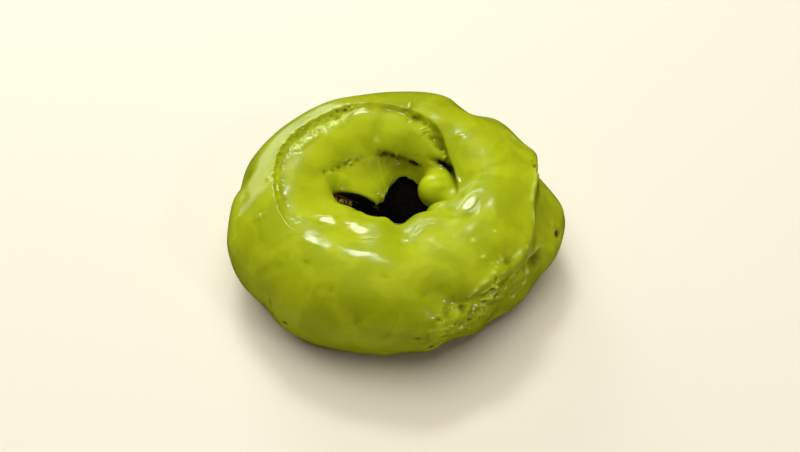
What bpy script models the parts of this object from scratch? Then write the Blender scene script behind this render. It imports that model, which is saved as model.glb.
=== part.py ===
"""Old-fashioned ring doughnut: a fried dough ring under a thick coating of matcha chocolate.

Two closed solids in metres, +Z up. The ring rests on the flat underside of its dough at z = 0 and
the middle of its box is the origin. A place on the ring has two angles in degrees: around, turned
anticlockwise from +X as seen from above, and tilt, turned up from the outer side over the top
(90) to the wall of the hole (180). A third number, reach, is the distance from the middle of the
ring's section out to its surface.
"""
import bmesh
import bpy
import numpy as np

MM = 0.001

# Plain section of the coated ring, millimetres
RING_RADIUS = 29.6
SECTION_HALF_WIDTH = 16.2
SECTION_TOP_RISE = 14.2
SECTION_LOW_DROP = 16.2
SECTION_HEIGHT = 13.4
CENTRE_SHIFT = (-1.0, -0.2)

# Coating and crust, millimetres
COAT_THICKNESS = 1.2
COAT_HEM_THINNING = 0.45
COAT_GAP = 0.3
LEAST_SLOPE = 0.05

# Mesh: the outside of the coating is twice as fine as what lies under it
FINE_COLUMNS = 112
FINE_STEPS = (9, 6, 4, 2, 4, 3, 8)
UNDER_COLUMNS = 56
UNDER_STEPS = (4, 4, 2, 1, 2, 1, 4)
BARE_STEPS = 12
BARE_CROWDING = 1.6
BARE_BLEND = 3.0
SEARCH_TILT = 8.0

# Least distances between the lines that rows are laid along, degrees
ROWS_BEFORE_LIP = 3.0
ROWS_PAST_LIP = (8.0, 15.0)
LIP_TO_STEP = 20.0
ROWS_BESIDE_STEP = (2.0, 7.0)
STEP_TO_HEM = 22.0
EASED_OVER = (-6.0, -3.0, 0.0, 3.0, 6.0)

# Lines that run round the ring: (around, tilt) in degrees
LIP_LINE = ((-30, 135), (-6, 142), (9, 142), (24, 139), (34, 136), (43, 129), (52, 117), (63, 109),
            (79, 99), (92, 91), (102, 87), (119, 83), (132, 80), (145, 79), (152, 76), (161, 76),
            (170, 78), (180, 81), (190, 82), (213, 80), (235, 90), (300, 110))
STEP_LINE = ((-40, 156), (0, 158), (25, 156), (41, 156), (55, 159), (66, 161), (80, 158), (92, 156),
             (100, 152), (108, 156), (119, 158), (128, 153), (138, 146), (153, 137), (163, 128),
             (190, 118), (235, 128), (300, 145))
RIDGE_LINE = ((-78, 38), (-63, 42), (-50, 44), (-41, 38), (-31, 41), (-26, 49), (-13, 59),
              (11, 42), (17, 30), (40, 40), (90, 48), (180, 48), (250, 44))
OUTER_HEM = ((0, -40), (30, -33), (60, -42), (100, -36), (140, -43), (175, -34), (205, -40),
             (231, -27), (250, -41), (275, -46), (294, -33), (320, -43), (345, -36))
INNER_HEM = ((0, 185), (28, 192), (57, 190), (83, 186), (104, 188), (130, 187), (160, 186),
             (169, 182), (173, 156), (180, 150), (188, 156), (202, 168), (250, 180), (300, 180),
             (340, 178))

# The crack that opened round the top as the dough rose, millimetres
RIM_STRENGTH = ((-24, 0.0), (12, 0.3), (45, 0.4), (85, 0.3), (108, 0.4), (122, 0.9), (190, 1.0),
                (207, 0.6), (222, 0.0))
DROP_STRENGTH = ((-24, 0.0), (-8, 0.8), (12, 1.0), (60, 1.0), (85, 0.4), (105, 0.4), (120, 0.9),
                 (190, 1.0), (207, 0.6), (222, 0.0))
GROOVE_STRENGTH = ((-24, 0.0), (-6, 0.5), (10, 0.9), (30, 1.5), (40, 1.3), (50, 0.6), (70, 0.3),
                   (88, 0.05), (108, 0.05), (120, 0.4), (148, 0.5), (162, 0.1), (176, 0.0), (226, 0.0))
LIP_RISE = 0.5
LIP_MIDDLE = -0.8
LIP_REACH = 1.8
CRACK_DROP = 0.9
CRACK_WALL = ((-24, 1.8), (0, 1.3), (45, 1.3), (72, 2.2), (120, 2.6), (200, 2.8), (222, 2.2))
CRACK_FADE = 6.0
GROOVE_DEPTH = 1.7
GROOVE_PLACE = 2.0
GROOVE_REACH = 1.3

# The lower step between the inner crown and the wall of the hole, millimetres
STEP_STRENGTH = ((45, 0.0), (62, 0.2), (75, 0.4), (90, 0.7), (104, 0.6), (118, 0.3), (150, 0.3),
                 (168, 0.1), (180, 0.0))
STEP_DROP = 1.8
STEP_WALL = 1.4
STEP_FLAT = 3.5
STEP_FADE = 3.0

# The sharp edge where the coating ran over a fold on the right, millimetres
RIDGE_STRENGTH = ((-78, 0.0), (-66, 0.6), (-50, 0.8), (-30, 1.0), (10, 1.0), (20, 0.5), (30, 0.0))
RIDGE_RISE = 0.8
RIDGE_MIDDLE = -0.4
RIDGE_REACH = 1.5
RIDGE_DROP = 1.9
RIDGE_WALL = 1.5
SHELF_DEPTH = 7.5

# The tongue of the crown that hangs far into the hole: its rise in millimetres round the ring
TONGUE_RISE = ((40, 0.0), (50, -0.8), (72, -0.8), (83, 1.4), (94, 4.0), (106, 7.4), (117, 8.8),
               (130, 9.2), (150, 9.0), (162, 8.8), (169, 8.4), (173, 6.0), (177, 0.0), (180, -1.2),
               (187, -0.8), (194, 0.0))
TONGUE_TILT = 180
TONGUE_SPREAD = (17, 10)

# The ball that hangs in the hole on the right, millimetres from the middle of the ring and the floor
BALL_MIDDLE = (12.2, 5.2, 15.6)
BALL_RADIUS = 5.1
BALL_FALL = 4.0
BALL_EASE = 0.25

# Rounded swellings and dents: (around, its spread, tilt, its spread, rise in millimetres)
HOLE_LOBES = (
    (34, 17, 196, 18, 2.0),
    (20, 16, 152, 8, -2.8),
    (210, 16, 156, 20, 2.2),
    (226, 7, 150, 16, 0.7),
    (246, 26, 158, 34, 4.4),
    (264, 10, 150, 18, 1.6),
    (302, 26, 158, 34, 4.3),
    (333, 13, 160, 22, 2.6),
    (279, 5, 146, 12, 0.2),
    (78, 9, 178, 18, -1.0),
    (178, 10, 160, 16, -1.3),
)
# Dough that closes in under the lobes low in the hole
LOW_LOBES = (
    (80, 46, 209, 11, 16.4),
    (140, 18, 207, 10, 3.0),
    (20, 24, 212, 11, 3.6),
)
SIDE_SWELLS = (
    (206, 13, 4, 30, 1.3),
    (192, 13, 20, 22, 0.8),
    (238, 13, -16, 24, 0.7),
    (349, 15, 8, 19, 2.5),
    (336, 8, -2, 18, 1.0),
    (16, 5, 33, 10, 1.6),
    (355, 8, 14, 14, 0.9),
    (42, 6, 56, 14, -1.0),
    (22, 4, 46, 12, -1.0),
    (222, 4, -2, 26, -0.6),
    (230, 5, 2, 26, 0.5),
    (24, 10, 62, 20, 0.7),
    (172, 5, 22, 22, -1.9),
    (53, 7, 38, 24, -3.6),
    (14, 4, 18, 13, -3.0),
    (308, 8, -16, 22, -3.4),
    (291, 7, -20, 19, -3.4),
    (268, 16, -26, 20, -1.0),
    (258, 8, -16, 14, -0.5),
    (267, 3, -22, 12, 0.9),
    (281, 3, -6, 12, 0.8),
    (329, 7, -8, 16, -1.4),
    (150, 24, 30, 20, -0.6),
    (105, 26, 42, 22, -0.6),
    (214, 4, 30, 18, -0.5),
    (186, 4, 40, 20, -0.4),
)
TOP_SWELLS = (
    (243, 13, 118, 13, -0.9),
    (334, 24, 95, 26, 0.5),
    (78, 17, 128, 12, 0.8),
    (104, 4, 134, 10, -0.8),
    (286, 5, 45, 11, -1.8),
    (295, 4, 38, 10, -1.7),
    (280, 5, 61, 9, -0.8),
    (290, 4, 20, 8, 1.0),
    (309, 6, 28, 11, 1.2),
    (317, 4, 48, 8, -1.4),
    (326, 5, 26, 8, -1.6),
    (333, 4, 26, 7, 0.7),
    (277, 5, 24, 10, 0.6),
    (300, 4, 12, 8, 0.8),
    (257, 5, 36, 12, -0.4),
    (233, 5, 60, 12, -0.4),
)
WAVE_ROUNDS = ((5, 1.3, 0.22), (9, 0.4, 0.16), (14, 2.1, 0.10))
WAVES_PER_SECTION = 2.0

DOUGH_COLOUR = (0.33, 0.15, 0.05, 1.0)
DOUGH_ROUGHNESS = 0.7
COAT_COLOUR = (0.36, 0.46, 0.02, 1.0)
COAT_ROUGHNESS = 0.25
COAT_GLOSS = 0.6
FULL_TURN = 360.0


def along(stations, around):
    """Value at an angle around the ring, read off a closed line of (around, value) stations."""
    start = [place % FULL_TURN for place, _ in stations]
    order = np.argsort(start)
    places = np.array(start)[order]
    values = np.array([value for _, value in stations], dtype=float)[order]
    return np.interp(np.asarray(around) % FULL_TURN, places, values, period=FULL_TURN)


def along_smooth(stations, around):
    """The same line with its corners eased over a few degrees."""
    return sum(along(stations, around + offset) for offset in EASED_OVER) / len(EASED_OVER)


def turn_between(around, centre):
    """Signed difference of two angles around the ring, from -180 to 180 degrees."""
    return (around - centre + 180.0) % FULL_TURN - 180.0


def ease(value):
    """Smooth rise from 0 to 1 as the value goes from 0 to 1."""
    value = np.clip(value, 0.0, 1.0)
    return value * value * (3.0 - 2.0 * value)


def hill(offset, spread):
    """Rounded hill of height 1 with the given spread."""
    return np.exp(-(offset / spread) ** 2)


def plain_reach(tilt):
    """Reach of the plain section: a half ellipse above its middle and a rounder one below."""
    rise = np.where(np.sin(np.radians(tilt)) >= 0.0, SECTION_TOP_RISE, SECTION_LOW_DROP)
    across = np.cos(np.radians(tilt)) / SECTION_HALF_WIDTH
    upward = np.sin(np.radians(tilt)) / rise
    return 1.0 / np.hypot(across, upward)


def surface_distance(tilt, line):
    """Distance over the surface from a line round the ring, positive towards the hole."""
    return np.radians(tilt - line) * 0.5 * (SECTION_HALF_WIDTH + SECTION_TOP_RISE)


def crack_relief(around, tilt):
    """Raised lip, steep drop and groove of the crack round the top, and the crown left lower."""
    past = surface_distance(tilt, along_smooth(LIP_LINE, around))
    past_step = surface_distance(tilt, along_smooth(STEP_LINE, around))
    lip = LIP_RISE * hill(past - LIP_MIDDLE, LIP_REACH)
    drop = CRACK_DROP * ease(past / along(CRACK_WALL, around)) * (1.0 - ease(past_step / CRACK_FADE))
    groove = GROOVE_DEPTH * hill(past - GROOVE_PLACE, GROOVE_REACH)
    relief = along(RIM_STRENGTH, around) * lip - along(DROP_STRENGTH, around) * drop
    return relief - along(GROOVE_STRENGTH, around) * groove


def step_relief(around, tilt):
    """Second, lower step that leads from the crown down to the wall of the hole."""
    past = surface_distance(tilt, along_smooth(STEP_LINE, around))
    fade = 1.0 - ease((past - STEP_FLAT) / STEP_FADE)
    return -along(STEP_STRENGTH, around) * STEP_DROP * ease(past / STEP_WALL) * fade


def ridge_relief(around, tilt):
    """Sharp edge on the right with a shelf below it."""
    below = -surface_distance(tilt, along_smooth(RIDGE_LINE, around))
    crest = RIDGE_RISE * hill(below - RIDGE_MIDDLE, RIDGE_REACH)
    shelf = RIDGE_DROP * ease(below / RIDGE_WALL) * (1.0 - ease((below - SHELF_DEPTH) / SHELF_DEPTH))
    return along(RIDGE_STRENGTH, around) * (crest - shelf)


def swell_relief(around, tilt, swells):
    """Sum of the rounded swellings and dents in a list."""
    total = 0.0
    for centre, spread, middle, spread_tilt, rise in swells:
        total = total + rise * hill(turn_between(around, centre), spread) * hill(tilt - middle, spread_tilt)
    return total


def tongue_relief(around, tilt):
    """The tongue that hangs into the hole on the left."""
    spread = np.where(tilt < TONGUE_TILT, *TONGUE_SPREAD)
    return along(TONGUE_RISE, around) * hill(tilt - TONGUE_TILT, spread)


def ball_reach(around, tilt):
    """Reach of the far side of the ball, falling steeply away beside it."""
    turn, up = np.radians(around), np.radians(tilt)
    way = (np.cos(up) * np.cos(turn), np.cos(up) * np.sin(turn), np.sin(up))
    start = (RING_RADIUS * np.cos(turn), RING_RADIUS * np.sin(turn), SECTION_HEIGHT)
    gap = [middle - first for middle, first in zip(BALL_MIDDLE, start)]
    nearest = sum(step * part for step, part in zip(gap, way))
    miss = np.sqrt(sum(step * step for step in gap) - nearest ** 2)
    cap = np.sqrt(np.maximum(BALL_RADIUS ** 2 - miss ** 2, 0.0))
    fall = BALL_FALL * np.maximum(miss - BALL_RADIUS, 0.0)
    on_this_side = (nearest > 0.0) & (nearest < RING_RADIUS)
    return np.where(on_this_side, nearest + cap - fall, 0.0)


def wave_relief(around, tilt):
    """Slow unevenness of a hand-made ring."""
    total = 0.0
    for rounds, phase, height in WAVE_ROUNDS:
        wave = np.radians(rounds * around + WAVES_PER_SECTION * tilt)
        total = total + height * np.sin(wave + phase)
    return total


def coat_reach(around, tilt):
    """Reach of the outside of the coating anywhere on the ring."""
    reach = plain_reach(tilt) + crack_relief(around, tilt) + step_relief(around, tilt)
    reach = reach + ridge_relief(around, tilt) + wave_relief(around, tilt) + tongue_relief(around, tilt)
    for swells in (HOLE_LOBES, LOW_LOBES, SIDE_SWELLS, TOP_SWELLS):
        reach = reach + swell_relief(around, tilt, swells)
    return BALL_EASE * np.logaddexp(reach / BALL_EASE, ball_reach(around, tilt) / BALL_EASE)


def lowest_nearby(around, tilt):
    """Least reach of the coating within one cell of the coarser mesh."""
    side = FULL_TURN / UNDER_COLUMNS
    parts = (-1.0, -0.5, 0.0, 0.5, 1.0)
    found = [coat_reach(around + side * across, tilt + SEARCH_TILT * up) for across in parts for up in parts]
    return np.min(found, axis=0)


def under_coat_reach(around, tilt):
    """Reach of the inside of the coating."""
    return lowest_nearby(around, tilt) - COAT_THICKNESS


def dough_reach(around, tilt, bare):
    """Reach of the dough: a gap below the coating, as full where it is bare, and flat where it rests."""
    under = under_coat_reach(around, tilt)
    reach = under + (coat_reach(around, tilt) - COAT_THICKNESS - under) * bare - COAT_GAP
    down = np.maximum(-np.sin(np.radians(tilt)), LEAST_SLOPE)
    return np.minimum(reach, SECTION_HEIGHT / down)


def row_tilts(around, steps):
    """Tilts of the mesh rows in each column, packed closely along the crack, step and ridge."""
    lip = along_smooth(LIP_LINE, around)
    step = np.maximum(along_smooth(STEP_LINE, around), lip + LIP_TO_STEP)
    hem = np.maximum(along_smooth(INNER_HEM, around), step + STEP_TO_HEM)
    lines = [along_smooth(OUTER_HEM, around), along_smooth(RIDGE_LINE, around), lip - ROWS_BEFORE_LIP,
             lip + ROWS_PAST_LIP[0], lip + ROWS_PAST_LIP[1], step - ROWS_BESIDE_STEP[0],
             step + ROWS_BESIDE_STEP[1], hem]
    rows = [lines[0]]
    for low, high, count in zip(lines[:-1], lines[1:], steps):
        for number in range(1, count + 1):
            rows.append(low + (high - low) * number / count)
    return np.array(rows)


def place(around, tilt, reach):
    """Positions in metres from the two angles and the reach."""
    out = RING_RADIUS + reach * np.cos(np.radians(tilt))
    x = out * np.cos(np.radians(around)) + CENTRE_SHIFT[0]
    y = out * np.sin(np.radians(around)) + CENTRE_SHIFT[1]
    z = SECTION_HEIGHT + reach * np.sin(np.radians(tilt))
    return np.stack((x, y, z), axis=-1) * MM


def torus_mesh(columns, rows):
    """Bmesh of a plain torus whose vertices run row by row within each column."""
    bpy.ops.mesh.primitive_torus_add(major_segments=columns, minor_segments=rows,
                                     major_radius=RING_RADIUS * MM, minor_radius=SECTION_HEIGHT * MM)
    ring = bpy.context.object
    mesh = bmesh.new()
    mesh.from_mesh(ring.data)
    bpy.data.objects.remove(ring, do_unlink=True)
    mesh.verts.ensure_lookup_table()
    return mesh


def shape_torus(mesh, positions):
    """Move the vertices of a torus to an array of positions, indexed by row and column."""
    rows = positions.shape[0]
    for vertex in mesh.verts:
        column, row = divmod(vertex.index, rows)
        vertex.co = positions[row, column]


def open_band(columns, positions):
    """Torus opened along its underside, from the outer hem over the top to the inner hem."""
    rows = positions.shape[0]
    band = torus_mesh(columns, rows)
    closing = []
    for face in band.faces:
        numbers = [vertex.index % rows for vertex in face.verts]
        if min(numbers) == 0 and max(numbers) == rows - 1:
            closing.append(face)
    bmesh.ops.delete(band, geom=closing, context="FACES_ONLY")
    shape_torus(band, positions)
    return band


def add_to(target, band):
    """Copy a band into another bmesh and return its new vertices."""
    piece = bpy.data.meshes.new("band")
    band.to_mesh(piece)
    band.free()
    before = len(target.verts)
    target.from_mesh(piece)
    bpy.data.meshes.remove(piece)
    target.verts.ensure_lookup_table()
    return list(target.verts[before:])


def column_angles(columns):
    """Angles around the ring of the mesh columns."""
    return np.arange(columns) * FULL_TURN / columns


def close_hem(mesh, fine, coarse, fine_rows, coarse_rows, fine_row, coarse_row):
    """Close one hem of the coating with three triangles for each coarse edge."""
    ratio = FINE_COLUMNS // UNDER_COLUMNS
    for column in range(UNDER_COLUMNS):
        following = (column + 1) % UNDER_COLUMNS
        inner_start = coarse[column * coarse_rows + coarse_row]
        inner_end = coarse[following * coarse_rows + coarse_row]
        outer_start = fine[ratio * column * fine_rows + fine_row]
        outer_middle = fine[(ratio * column + 1) * fine_rows + fine_row]
        outer_end = fine[(ratio * following) * fine_rows + fine_row]
        mesh.faces.new((inner_start, outer_start, outer_middle))
        mesh.faces.new((inner_start, outer_middle, inner_end))
        mesh.faces.new((inner_end, outer_middle, outer_end))


def material(name, colour, roughness, coat):
    """Plain Principled material."""
    finish = bpy.data.materials.new(name)
    finish.use_nodes = True
    shader = finish.node_tree.nodes["Principled BSDF"]
    shader.inputs["Base Color"].default_value = colour
    shader.inputs["Roughness"].default_value = roughness
    shader.inputs["Metallic"].default_value = 0.0
    shader.inputs["Coat Weight"].default_value = coat
    return finish


def finished_object(mesh, name, collection, finish):
    """Object with outward faces, smooth shading and its own material."""
    bmesh.ops.recalc_face_normals(mesh, faces=mesh.faces)
    data = bpy.data.meshes.new(name)
    mesh.to_mesh(data)
    mesh.free()
    data.shade_smooth()
    data.materials.append(finish)
    piece = bpy.data.objects.new(name, data)
    collection.objects.link(piece)
    return piece


def build_coating(collection):
    """Coating as a closed skin: fine outside, coarser inside, joined along both hems."""
    around = column_angles(FINE_COLUMNS)[None, :]
    tilt = row_tilts(column_angles(FINE_COLUMNS), FINE_STEPS)
    reach = coat_reach(around, tilt)
    reach[0] -= COAT_HEM_THINNING
    reach[-1] -= COAT_HEM_THINNING
    mesh = bmesh.new()
    outside = add_to(mesh, open_band(FINE_COLUMNS, place(around, tilt, reach)))
    around = column_angles(UNDER_COLUMNS)[None, :]
    tilt = row_tilts(column_angles(UNDER_COLUMNS), UNDER_STEPS)
    inside = add_to(mesh, open_band(UNDER_COLUMNS, place(around, tilt, under_coat_reach(around, tilt))))
    fine_rows = sum(FINE_STEPS) + 1
    coarse_rows = sum(UNDER_STEPS) + 1
    close_hem(mesh, outside, inside, fine_rows, coarse_rows, 0, 0)
    close_hem(mesh, outside, inside, fine_rows, coarse_rows, fine_rows - 1, coarse_rows - 1)
    finish = material("matcha_coating", COAT_COLOUR, COAT_ROUGHNESS, COAT_GLOSS)
    return finished_object(mesh, "matcha_coating", collection, finish)


def build_dough(collection):
    """Dough ring: under the coating it follows it, and below the hems it is bare."""
    angles = column_angles(UNDER_COLUMNS)
    covered = row_tilts(angles, UNDER_STEPS)
    first = covered[-1]
    last = covered[0] + FULL_TURN
    parts = (np.arange(1, BARE_STEPS) / BARE_STEPS) ** BARE_CROWDING
    tilt = np.concatenate((covered, first + (last - first) * parts[:, None]))
    around = angles[None, :]
    bare = ease((np.arange(tilt.shape[0]) - covered.shape[0]) / BARE_BLEND)[:, None]
    mesh = torus_mesh(UNDER_COLUMNS, tilt.shape[0])
    shape_torus(mesh, place(around, tilt, dough_reach(around, tilt, bare)))
    finish = material("fried_crust", DOUGH_COLOUR, DOUGH_ROUGHNESS, 0.0)
    return finished_object(mesh, "dough_ring", collection, finish)


def main():
    """Clear the scene and build the doughnut."""
    for item in list(bpy.data.objects):
        bpy.data.objects.remove(item, do_unlink=True)
    collection = bpy.data.collections.new("matcha_doughnut")
    bpy.context.scene.collection.children.link(collection)
    build_dough(collection)
    build_coating(collection)


main()
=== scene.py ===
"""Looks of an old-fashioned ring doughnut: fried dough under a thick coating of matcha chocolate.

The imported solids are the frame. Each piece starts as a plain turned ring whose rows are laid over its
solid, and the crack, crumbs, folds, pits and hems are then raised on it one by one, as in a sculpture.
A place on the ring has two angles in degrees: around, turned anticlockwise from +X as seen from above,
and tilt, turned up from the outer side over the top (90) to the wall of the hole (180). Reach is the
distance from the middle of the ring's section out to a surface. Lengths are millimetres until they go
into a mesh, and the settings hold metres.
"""

import math
from functools import lru_cache

import bpy
import numpy as np
from bpy.props import FloatProperty, FloatVectorProperty, IntProperty, PointerProperty
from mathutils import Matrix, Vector
from mathutils.bvhtree import BVHTree


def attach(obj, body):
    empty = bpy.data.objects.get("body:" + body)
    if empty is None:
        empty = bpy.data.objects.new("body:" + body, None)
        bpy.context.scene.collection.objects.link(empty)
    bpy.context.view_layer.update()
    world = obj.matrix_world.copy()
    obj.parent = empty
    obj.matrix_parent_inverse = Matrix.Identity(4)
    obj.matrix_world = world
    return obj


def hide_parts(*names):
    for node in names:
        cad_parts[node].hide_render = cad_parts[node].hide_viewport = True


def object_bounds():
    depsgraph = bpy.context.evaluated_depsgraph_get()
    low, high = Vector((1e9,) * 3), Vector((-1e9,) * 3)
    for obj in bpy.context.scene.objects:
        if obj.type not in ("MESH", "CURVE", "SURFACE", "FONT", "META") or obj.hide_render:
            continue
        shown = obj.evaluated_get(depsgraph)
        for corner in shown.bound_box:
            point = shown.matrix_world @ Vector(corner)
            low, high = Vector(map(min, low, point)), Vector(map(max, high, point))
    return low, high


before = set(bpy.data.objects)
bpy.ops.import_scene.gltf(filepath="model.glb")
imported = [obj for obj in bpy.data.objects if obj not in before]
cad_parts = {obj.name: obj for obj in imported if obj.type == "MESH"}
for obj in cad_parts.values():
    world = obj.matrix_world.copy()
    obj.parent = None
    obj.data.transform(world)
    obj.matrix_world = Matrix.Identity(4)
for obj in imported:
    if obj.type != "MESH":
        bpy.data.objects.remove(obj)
CAD_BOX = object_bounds()

bl_info = {
    "name": "Matcha Ring Doughnut",
    "version": (1, 0, 0),
    "blender": (4, 5, 0),
    "location": "View3D > Sidebar > Doughnut",
    "description": "Dresses the solids of a ring doughnut with a glossy matcha coating and fried crust",
    "category": "Object",
}

MM = 0.001
FULL_TURN = 360.0
TINY = 1e-9

# The ring that every place is measured on, millimetres
RING_RADIUS = 29.6
RING_CENTRE = (-1.0, -0.2)
SECTION_HEIGHT = 13.4
SECTION_RADIUS = 15.2

# Reading of the solids: rays fired in from this reach, how far over the crust the coating is taken to lie
# where there is none, and where its two hems are looked for, each from a covered tilt to a bare one
PROBE_COLUMNS = 112
PROBE_ROWS = 120
PROBE_REACH = 29.0
COVERED_LIFT = 1.5
OUTER_HEM_SEARCH = (0.0, -80.0)
INNER_HEM_SEARCH = (130.0, 240.0)
HEM_HALVINGS = 7

# How softly points are eased back inside the box of the solids, millimetres
BOX_EASE = 0.12

# Lines that run round the ring: (around, tilt) in degrees, their corners eased over these shifts
EASING_SHIFTS = (-6.0, -3.0, 0.0, 3.0, 6.0)
LIP_LINE = ((-30, 135), (-6, 142), (9, 142), (24, 139), (34, 136), (43, 129), (52, 117), (63, 109),
            (79, 99), (92, 91), (102, 87), (119, 83), (132, 80), (145, 79), (152, 76), (161, 76),
            (170, 78), (180, 81), (190, 82), (213, 80), (235, 90), (300, 110))
STEP_LINE = ((-40, 156), (0, 158), (25, 156), (41, 156), (55, 159), (66, 161), (80, 158), (92, 156),
             (100, 152), (108, 156), (119, 158), (128, 153), (138, 146), (153, 137), (163, 128),
             (190, 118), (235, 128), (300, 145))
RIDGE_LINE = ((-78, 38), (-63, 42), (-50, 44), (-41, 38), (-31, 41), (-26, 49), (-13, 59),
              (11, 42), (17, 30), (40, 40), (90, 48), (180, 48), (250, 44))

# The ball that hangs in the hole on the right, millimetres from the middle of the ring and the floor, how
# steeply it falls away beside it and how softly it joins the coating
BALL_MIDDLE = (12.2, 5.2, 15.6)
BALL_RADIUS = 5.1
BALL_FALL = 4.0
BALL_EASE = 0.15

# How close together the columns of the coating are, by place round the ring, and how finely that is added
COLUMN_STEPS = 8
COLUMN_CROWDING = ((0, 1.0), (20, 1.2), (50, 1.5), (80, 1.3), (100, 1.2), (150, 1.4), (200, 1.1),
                   (215, 0.75), (262, 0.75), (274, 1.5), (290, 2.1), (312, 2.0), (326, 1.5), (345, 1.2))

# Rows of the coating between its hems and those lines
ROWS_AT_HEM = 6
ROWS_ON_FLANK = 66
ROWS_TO_LIP = 26
ROWS_IN_CRACK = 25
ROWS_ON_CROWN = 12
ROWS_ON_STEP = 20
ROWS_IN_HOLE = 17
ROWS_INSIDE = 8

# Degrees of tilt beside the hems, the crack's lip and the step where the rows crowd together
HEM_SPAN = 4.0
LIP_SPAN = (5.0, 16.0)
STEP_SPAN = (5.0, 14.0)
LEAST_GAP = 22.0

# Waves in the lines: seed, fewest and most round the ring. Heights of the hems' waves, degrees of tilt
WAVES_IN_A_LINE = 14
OUTER_HEM_WAVES = (21, 12, 60)
INNER_HEM_WAVES = (22, 8, 40)
OUTER_HEM_WANDER = 1.1
INNER_HEM_WANDER = 1.0
CREST_WAVES = (11, 40, 110)
SCALLOP_WAVES = (13, 90, 200)

# Hems: how far they roll under the crust and fade the relief, and how deep the inside of the coating lies
HEM_TUCK = 0.25
HEM_FADE = 1.4
INSIDE_DEPTH = 0.8

# Smooth random swells: rise, length and seed of each layer, in millimetres
SWELLS_IN_A_LAYER = 26
LENGTH_SPREAD = (0.6, 1.4)
COATING_SWELLS = ((0.035, 14.0, 31), (0.008, 6.0, 32))
CRUST_CRAGS = ((0.30, 5.0, 51), (0.16, 2.2, 52), (0.10, 1.1, 53))
CRAG_DROP = 0.25
CRAG_LIMIT = 0.5

# Degrees that the open part of the crust reaches under each hem
CRUST_OVERLAP = 8.0

# How often a field is averaged with its neighbours
NORMAL_BLUR = 3
SMALL_BLUR = 2
HOLLOW_SHADE_BLUR = 14
CRUST_BLUR = 6

# Crest of the crack and the drop of the wall behind it, millimetres, and where they are strong
CREST_STRENGTH = ((-24, 0.0), (-8, 0.3), (12, 0.5), (40, 0.5), (63, 0.3), (85, 0.1), (105, 0.1),
                  (116, 0.6), (130, 0.9), (192, 1.0), (206, 0.5), (222, 0.0))
CREST_RISE = 0.20
CREST_WIDTH = 0.42
CREST_SCALLOP = 0.22
CREST_WOBBLE = 0.6
CREST_SHIFT = 0.2
WALL_DROP = 0.40
WALL_WIDTH = 0.5
WALL_FADE = 2.6

# How many lengths away a bump or facet still counts, and a patch of colour
RELIEF_REACH = 3.0
PATCH_REACH = 2.0

# Soft bumps and hollows: around, tilt, length, width, turn of the long way, rise; degrees and mm
FINE_SWELLS = (
    (228, 84, 3.0, 1.0, 20, 0.10), (226, 119, 1.8, 2.6, 0, 0.18), (245, 122, 5.0, 1.9, 0, -0.30),
    (247, 112, 6.0, 0.8, 12, 0.14), (284, 122, 3.0, 0.9, 20, 0.14), (278, 131, 2.6, 0.9, 0, -0.22),
    (336, 121, 3.4, 1.6, 0, 0.20), (324, 118, 2.2, 1.1, 0, -0.12), (321, 79, 0.5, 0.5, 0, 0.14),
    (310, 86, 0.8, 0.6, 0, 0.08), (307, 67, 0.5, 0.5, 0, 0.12), (314, 52, 0.9, 0.6, 0, 0.20),
    (38, 108, 2.4, 0.6, 52, 0.10), (33, 117, 0.5, 0.5, 0, 0.12), (103, 137, 0.7, 0.5, 30, 0.35),
    (102, 147, 0.6, 0.5, 0, 0.25), (201, 61, 0.8, 1.9, 0, 0.30), (202, 21, 0.7, 2.0, 0, 0.35),
    (104, 87, 1.7, 0.6, 8, 0.30), (94, 97, 4.2, 1.3, -12, -0.40), (86, 103, 1.6, 1.0, 0, -0.25),
    (79, 95, 0.45, 2.2, 0, 0.34), (82, 98, 1.4, 0.5, 0, 0.20), (58, 125, 2.0, 1.5, -30, -0.75),
    (50, 131, 1.7, 1.3, -30, -0.85), (72, 110, 1.6, 0.9, -30, -0.50), (100, 155, 2.6, 1.3, -10, -0.70),
    (90, 158, 2.2, 1.2, 0, -0.70), (82, 161, 1.6, 1.0, 0, -0.55), (68, 166, 1.6, 0.9, 0, -0.70),
    (126, 152, 2.2, 0.8, 0, -0.30), (329, 17, 2.4, 1.9, 20, -1.00), (330, 27, 1.8, 0.7, 10, 0.40),
    (329, 7, 1.8, 0.7, 0, 0.35), (337, 9, 1.6, 1.4, 0, 0.50), (345, 20, 0.9, 0.5, 10, 0.30),
    (316, 46, 1.8, 1.5, 60, -0.60), (310, 40, 1.0, 1.6, 0, -0.35), (304, 33, 1.6, 0.9, 50, 0.45),
    (301, 23, 1.0, 1.2, 0, -0.45), (290, 41, 1.8, 2.0, 20, -0.50), (287, 31, 1.0, 2.2, -10, -0.55),
    (293, 30, 1.0, 2.0, -20, -0.60), (281, 52, 1.6, 1.0, 30, -0.30), (298, 13, 1.8, 0.9, -10, 0.45),
    (284, 15, 1.4, 1.2, 0, 0.35), (276, 14, 1.0, 1.8, 0, 0.30), (268, 8, 2.0, 1.2, 0, 0.25),
    (266, 72, 1.0, 0.6, 0, -0.16), (276, 66, 0.9, 0.7, 40, -0.12), (233, 65, 1.1, 0.6, 20, -0.20),
    (247, 51, 1.5, 0.9, 50, -0.24), (257, 33, 1.3, 2.6, 10, -0.30), (239, 41, 1.2, 2.2, -15, -0.20),
    (218, 34, 1.6, 3.0, -10, 0.22), (224, 46, 1.8, 1.2, 30, -0.18), (172, 28, 1.4, 3.0, 10, -0.35),
    (186, 44, 2.4, 1.6, 30, -0.25), (196, 35, 1.8, 3.0, 0, 0.25), (126, 40, 4.0, 2.0, 0, -0.20),
    (60, 36, 1.6, 3.0, 10, -0.30), (98, 24, 2.6, 1.8, 20, 0.30), (30, 20, 1.4, 2.6, 0, -0.30),
)

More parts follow.
